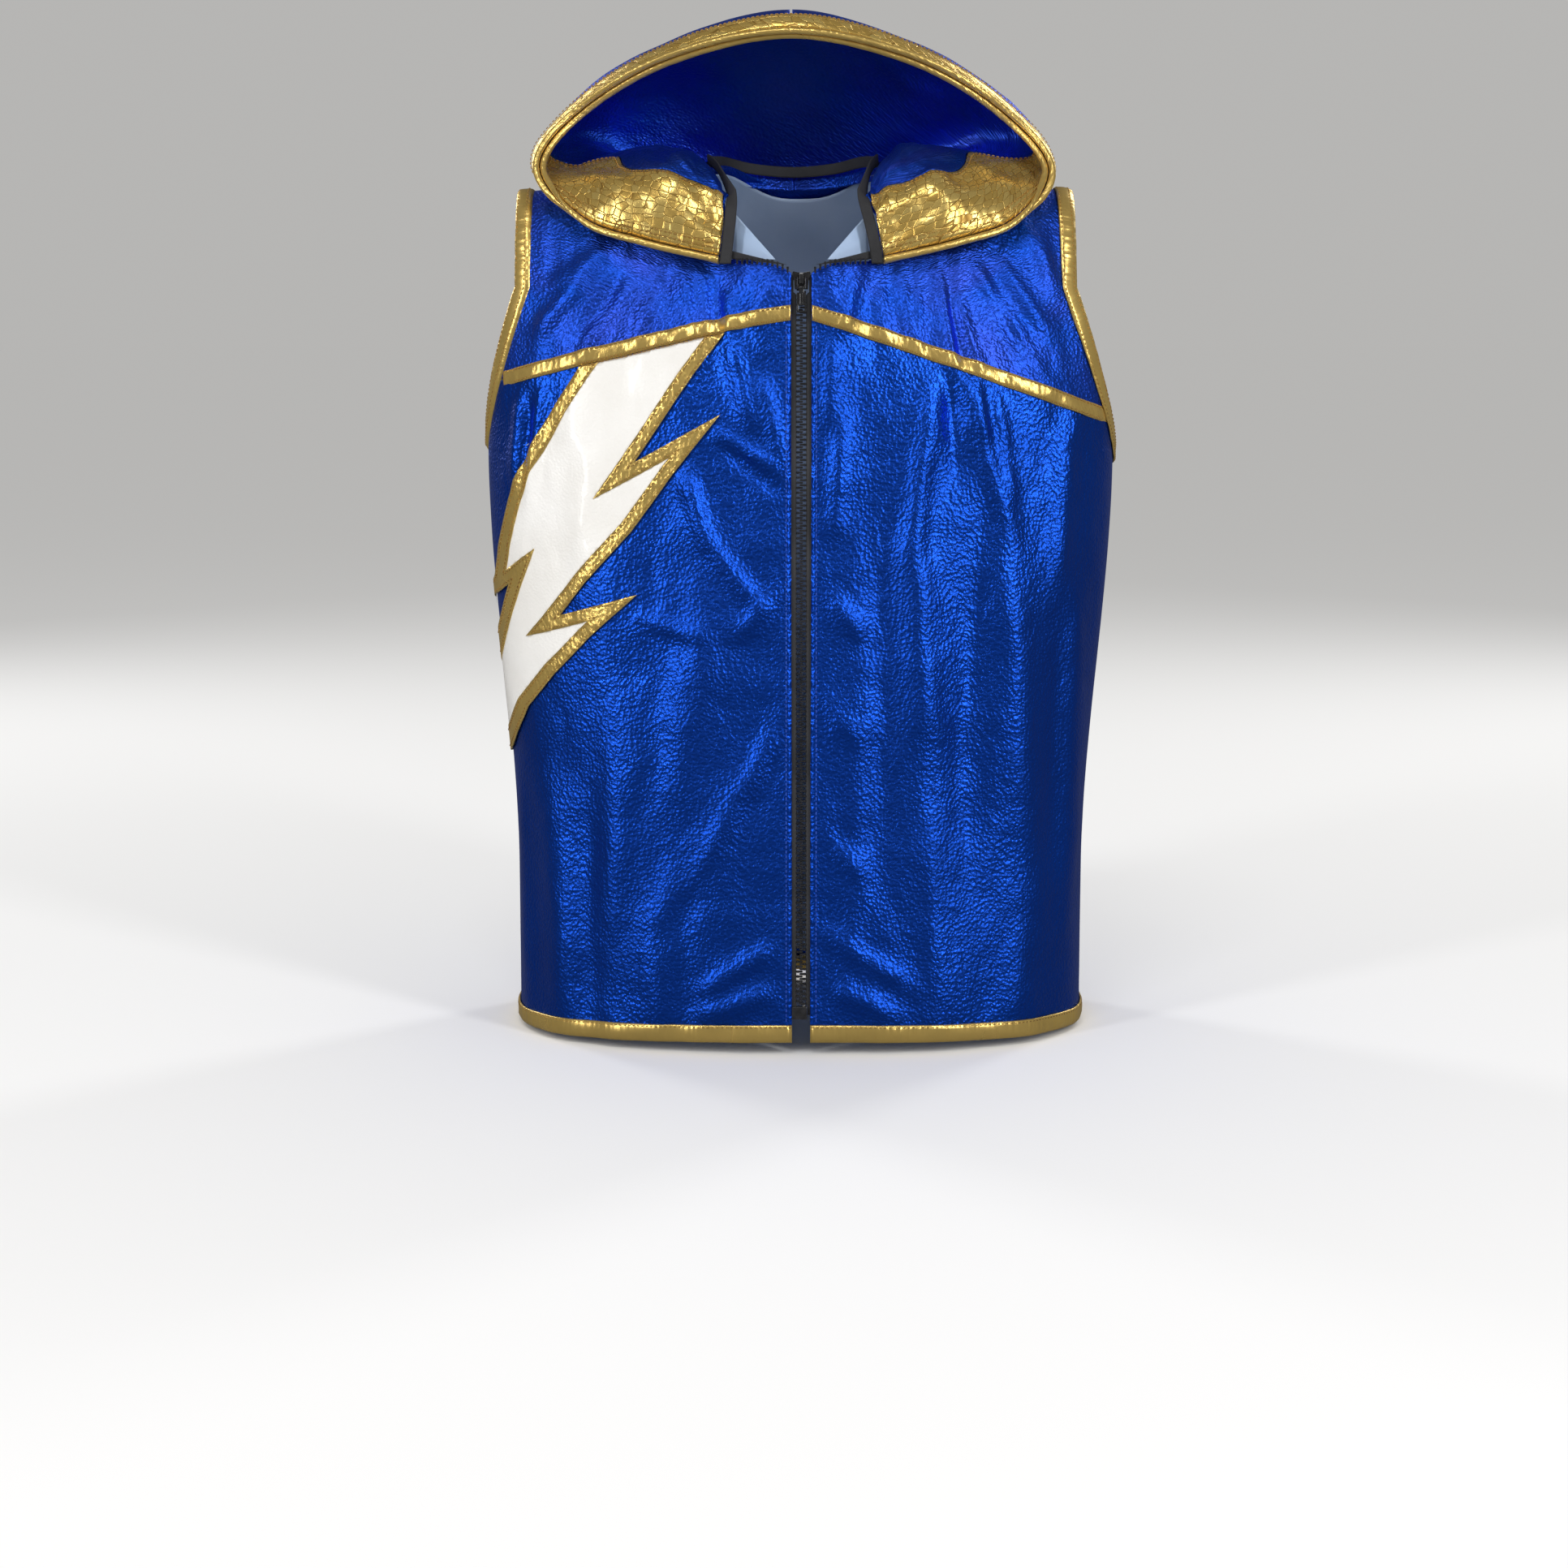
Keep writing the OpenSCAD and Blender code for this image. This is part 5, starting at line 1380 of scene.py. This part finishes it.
class VEST_OT_zip(bpy.types.Operator):
    """Tapes, teeth, stops, box and pin of the zip"""
    bl_idname = "vest.zip"
    bl_label = "Zip"

    def execute(self, context):
        tooth = tooth_mesh()
        for side, word in ((1, "left"), (-1, "right")):
            self.teeth(side, word, tooth)
            self.tape(side, word)
        bpy.data.meshes.remove(tooth)
        for node, look, width in (("zip_top_stops", "plastic", 0.0004), ("zip_retainer_box", "plastic", 0.0006),
                                  ("zip_insertion_pin", "pin", 0.0003), ("zip_end_patches", "zip tape", 0.00008)):
            round_node(node, look, width)
        return {"FINISHED"}

    def teeth(self, side, word, tooth):
        bm = bmesh.new()
        turn = Matrix.Identity(4) if side > 0 else Matrix.Diagonal((-1, 1, 1, 1))
        count = math.floor((SLIDER_TOP - 0.003 - ZIP_BOTTOM) / TOOTH_PITCH)
        shift = 0 if side > 0 else TOOTH_PITCH / 2
        for i in range(count):
            place = ON_ZIP @ Matrix.Translation((0, 0, ZIP_BOTTOM + shift + i * TOOTH_PITCH)) @ turn
            self.add(bm, tooth, place)
        stand = Matrix.Rotation(math.radians(-90), 4, "Y")
        for i in range(math.floor((CORNER_HALF - 0.008 - OPEN_START) / TOOTH_PITCH)):
            x = OPEN_START + i * TOOTH_PITCH
            p = body_on_front(x, collar_z((x - EDGE_HALF) / (CORNER_HALF - EDGE_HALF)))
            p += Vector((0, -FOLD_OUT - TAPE_T - 0.0004 - TOOTH_T / 2, -0.0007))
            self.add(bm, tooth, Matrix.Translation((side * p.x, p.y, p.z)) @ stand)
        bmesh.ops.recalc_face_normals(bm, faces=bm.faces)
        piece = finish_piece(f"teeth_{word}", bm, LOOKS["plastic"], smooth=False)
        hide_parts(f"zip_teeth_{word}")
        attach(piece, "vest")

    def add(self, bm, tooth, place):
        first = len(bm.verts)
        bm.from_mesh(tooth)
        bm.verts.ensure_lookup_table()
        bmesh.ops.transform(bm, matrix=place, verts=bm.verts[first:])

    def tape(self, side, word):
        inner = TOOTH_REACH - TOOTH_CROSS + 0.0003
        foot, top = ZIP_BOTTOM - 0.008, -0.012
        waist, neck = ZIP_BOTTOM - 0.0004, SLIDER_TOP - SLIDER_L - 0.002

        def main(u, v):
            z = mix(foot, top, v)
            start = 0.0046 if z < waist and side > 0 else 0.0054 if z > neck else inner
            wave = 0.00012 * math.sin(z * 900)
            return ON_ZIP @ Vector((side * mix(start, TAPE_HALF, u), wave * u * u, z))
        bm = grid_mesh(6, 260, main, side < 0)
        raise_by = Vector((0, -FOLD_OUT - TAPE_T / 2, 0.0024))
        near = body_on_front(OPEN_START, collar_z(0.1)) + raise_by
        far = body_on_front(CORNER_HALF - 0.004, collar_z(1)) + raise_by

        def fold(u, v):
            p = near.lerp(far, u) + Vector((0, 0, 0.0060 * u * v))
            return Vector((side * p.x, p.y, p.z))
        other = grid_mesh(30, 5, fold, side < 0, wrap=True)
        mesh = bpy.data.meshes.new("fold")
        other.to_mesh(mesh)
        other.free()
        bm.from_mesh(mesh)
        bpy.data.meshes.remove(mesh)
        piece = finish_piece(f"tape_{word}", bm, LOOKS["zip tape"])
        add_thickness(piece, TAPE_T * 0.9, 0.0)
        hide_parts(f"zip_tape_{word}")
        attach(piece, "vest")


def round_node(name, look, width):
    """Gives a node of the frame its finish and rounds its edges."""
    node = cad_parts[name]
    for slot in node.material_slots:
        slot.material = LOOKS[look]
    weld = node.modifiers.new("weld", "WELD")
    weld.merge_threshold = 1e-6
    edge = node.modifiers.new("edge", "BEVEL")
    edge.width = width
    edge.segments = 2
    edge.limit_method = "ANGLE"
    edge.angle_limit = math.radians(35)
    edge.use_clamp_overlap = True


class VEST_OT_slider(bpy.types.Operator):
    """Slider with its crown, link and pull tab"""
    bl_idname = "vest.slider"
    bl_label = "Slider"

    def execute(self, context):
        for node, width in (("zip_slider", 0.0005), ("slider_crown", 0.0005), ("pull_link", 0.0002),
                            ("pull_tab", 0.0003)):
            round_node(node, "enamel", width)
        return {"FINISHED"}


# ---------- stitches ----------
ZIP_STITCH_X = 0.0105       # distance of the stitches beside the zip from its middle


class VEST_OT_stitches(bpy.types.Operator):
    """Rows of stitches along the armhole and hem bindings, the chest bands, beside the zip, round the bolt and on
    the hood's facing and band
    """
    bl_idname = "vest.stitches"
    bl_label = "Stitches"

    def execute(self, context):
        length = context.scene.vest_cloth.stitch
        plain = {"length": length, "gap": length * 0.55}
        for side, word in ((1, "left"), (-1, "right")):
            runs = self.binding_rows(armhole_places(side), True, (1.6, 8.9), plain)
            runs += self.band_rows(side, plain)
            stitch_piece(f"gold_stitches_{word}", runs, LOOKS["gold thread"], "vest")
            stitch_piece(f"zip_stitches_{word}", self.zip_rows(side, plain), LOOKS["blue thread"],
                         "vest")
        stitch_piece("hem_stitches", self.binding_rows(hem_places(), False, (8.9,), plain),
                     LOOKS["gold thread"], "vest")
        stitch_piece("bolt_stitches", self.bolt_rows(plain), LOOKS["gold thread"], "vest")
        stitch_piece("hood_stitches", self.hood_rows(plain), LOOKS["gold thread"], "hood")
        return {"FINISHED"}

    def binding_rows(self, places, closed, depths, options):
        frames = edge_frames(places, closed)
        rows = []
        for d in depths:
            up = 0.0029 if d < 8 else 0.00265
            points = [binding_point(p, f, d / 1000, up) for p, f in zip(places, frames)]
            normals = [f[2] for f in frames]
            if closed:
                points, normals = points + points[:1], normals + normals[:1]
            rows.append((points, normals, options))
        return rows

    def band_rows(self, side, options):
        last = band_last(side) - 0.008
        rows = []
        for off in (-0.0042, 0.0042):
            xs = [mix(EDGE_HALF + 0.001, last, i / 120) for i in range(121)]
            points = [front_point(side * x, band_level(x, side) + off, 0.0029) for x in xs]
            rows.append((points, self.front_normals(xs, side, off), options))
        return rows

    def front_normals(self, xs, side, off):
        normals = []
        for x in xs:
            z = band_level(x, side) + off
            out = body_skin(share_at(x, z), height_at(x, z), -1)[1]
            normals.append(Vector((side * out.x, out.y, out.z)))
        return normals

    def zip_rows(self, side, options):
        rows = []
        x = ZIP_STITCH_X
        zs = [mix(HEM_Z + 0.012, BAND_Z - 0.008, i / 300) for i in range(301)]
        points = [front_point(side * x, z, CLOTH_T + 0.0001) for z in zs]
        rows.append((points, [Vector((0, -1, 0))] * len(points), options))
        return rows

    def bolt_rows(self, options):
        outline = bolt_outline()
        rows = []
        for depth in (0.0016, 0.0074):
            corners = inset_outline(outline, depth)
            for a, b in zip(corners, corners[1:] + corners[:1]):
                count = max(2, int((b - a).length / 0.002))
                line = [a.lerp(b, i / count) for i in range(count + 1)]
                line = [p for p in line if p.x < half_width(p.z) - 0.0006]
                if len(line) < 2:
                    continue
                points = [front_point(-p.x, p.z, BORDER_LIFT + 0.0007) for p in line]
                normals = []
                for p in line:
                    out = body_skin(share_at(p.x, p.z), height_at(p.x, p.z), -1)[1]
                    normals.append(Vector((-out.x, out.y, out.z)))
                rows.append((points, normals, options))
        return rows

    def hood_rows(self, options):
        rows = []
        for width, lift in ((0.0045, -0.0027), (0.0075, -0.0028), (FACING_W - 0.0022, -0.0024),
                            (HOOD_BAND_W - 0.0015, 0.0040)):
            points, normals = [], []
            for i in range(401):
                t, side = both_sides(i / 400)
                s = strip_share(t, width)
                points.append(hood_point(t, s, lift, side))
                out = hood_out(t, s) * (1 if lift > 0 else -1)
                normals.append(Vector((side * out.x, out.y, out.z)))
            rows.append((points, normals, options))
        return rows


# ---------- stage ----------
FLOOR_SHADE = 0.9   # the seen sky takes the tone of the far floor


class VEST_OT_stage(bpy.types.Operator):
    """Pale floor, soft lights and the camera"""
    bl_idname = "vest.stage"
    bl_label = "Stage"

    def execute(self, context):
        settings = context.scene.vest_stage
        level = FRAME_BOX[0][2] - settings.floor_gap
        bm = bmesh.new()
        bmesh.ops.create_grid(bm, x_segments=1, y_segments=1, size=60,
                              matrix=Matrix.Translation((0, 0, level)))
        material, tree, bsdf = start_material("pale floor")
        bsdf.inputs["Base Color"].default_value = (FLOOR_SHADE, FLOOR_SHADE, FLOOR_SHADE, 1)
        bsdf.inputs["Roughness"].default_value = 1.0
        bsdf.inputs["Specular IOR Level"].default_value = 0.0
        floor = finish_piece("floor", bm, material, smooth=False)
        floor.visible_glossy = False
        self.sky(context)
        power = settings.key_power
        self.lamp("key", (1.55, -1.9, 0.75), (0.38, 1.7), power)
        self.lamp("fill", (-1.75, -1.75, 0.6), (0.32, 1.6), power * 0.75)
        self.lamp("top", (-0.25, -1.5, 1.9), (0.7, 0.35), power * 0.4)
        self.lamp("rear left", (1.5, 1.8, 1.2), (0.4, 1.5), power * 0.7)
        self.lamp("rear right", (-1.6, 1.7, 1.0), (0.4, 1.5), power * 0.6)
        camera = bpy.data.cameras.new("camera")
        camera.lens = 69.04
        camera.sensor_width = 36
        eye = bpy.data.objects.new("camera", camera)
        eye.location = (-0.012, -2.2, -0.046)
        eye.rotation_euler = (math.radians(81.31), 0, 0)
        context.scene.collection.objects.link(eye)
        context.scene.camera = eye
        context.scene.view_settings.view_transform = "Standard"
        return {"FINISHED"}

    def sky(self, context):
        world = bpy.data.worlds.new("studio")
        world.use_nodes = True
        context.scene.world = world
        tree = world.node_tree
        back = tree.nodes["Background"]
        back.inputs["Color"].default_value = (0.95, 0.94, 0.92, 1)
        path = put(tree, "ShaderNodeLightPath")
        seen = put(tree, "ShaderNodeMapRange", [("Value", path.outputs["Is Camera Ray"]), ("To Min", 0.55),
                                                ("To Max", 0.55 * FLOOR_SHADE)])
        strength = put(tree, "ShaderNodeMapRange", [("Value", path.outputs["Is Glossy Ray"]),
                                                    ("To Min", seen.outputs["Result"]), ("To Max", 0.10)])
        tree.links.new(strength.outputs["Result"], back.inputs["Strength"])

    def lamp(self, name, place, size, power):
        light = bpy.data.lights.new(name, "AREA")
        light.shape = "RECTANGLE"
        light.size, light.size_y = size
        light.energy = power
        lamp = bpy.data.objects.new(name, light)
        lamp.location = place
        aim = Vector((0, 0, -0.2)) - Vector(place)
        lamp.rotation_euler = aim.to_track_quat("-Z", "Y").to_euler()
        bpy.context.scene.collection.objects.link(lamp)


# ---------- sidebar ----------
STEPS = ("vest.cloth", "vest.neck", "vest.hood", "vest.lining", "vest.trim", "vest.bolt", "vest.zip",
         "vest.slider", "vest.stitches", "vest.stage")


class VEST_OT_looks(bpy.types.Operator):
    """Materials of the cloth, leather, tapes and zip"""
    bl_idname = "vest.looks"
    bl_label = "Materials"

    def execute(self, context):
        make_looks(context.scene.vest_colours)
        return {"FINISHED"}


class VEST_PT_sidebar(bpy.types.Panel):
    bl_idname = "VEST_PT_sidebar"
    bl_label = "Hooded zip vest"
    bl_space_type = "VIEW_3D"
    bl_region_type = "UI"
    bl_category = "Vest"

    def draw(self, context):
        layout = self.layout
        for group in (context.scene.vest_cloth, context.scene.vest_colours, context.scene.vest_stage):
            box = layout.box()
            for key in group.__annotations__:
                box.prop(group, key)
        layout.operator("vest.looks")
        for step in STEPS:
            layout.operator(step)


CLASSES = (ClothSettings, ColourSettings, StageSettings, VEST_OT_looks, VEST_OT_cloth, VEST_OT_lining,
           VEST_OT_trim, VEST_OT_bolt, VEST_OT_hood, VEST_OT_neck, VEST_OT_zip, VEST_OT_slider,
           VEST_OT_stitches, VEST_OT_stage, VEST_PT_sidebar)


def register():
    for each in CLASSES:
        bpy.utils.register_class(each)
    bpy.types.Scene.vest_cloth = PointerProperty(type=ClothSettings)
    bpy.types.Scene.vest_colours = PointerProperty(type=ColourSettings)
    bpy.types.Scene.vest_stage = PointerProperty(type=StageSettings)


def unregister():
    del bpy.types.Scene.vest_stage
    del bpy.types.Scene.vest_colours
    del bpy.types.Scene.vest_cloth
    for each in reversed(CLASSES):
        bpy.utils.unregister_class(each)


def main():
    register()
    bpy.ops.vest.looks()
    for step in STEPS:
        getattr(bpy.ops.vest, step.split(".")[1])()
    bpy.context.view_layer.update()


if __name__ == "__main__":
    main()
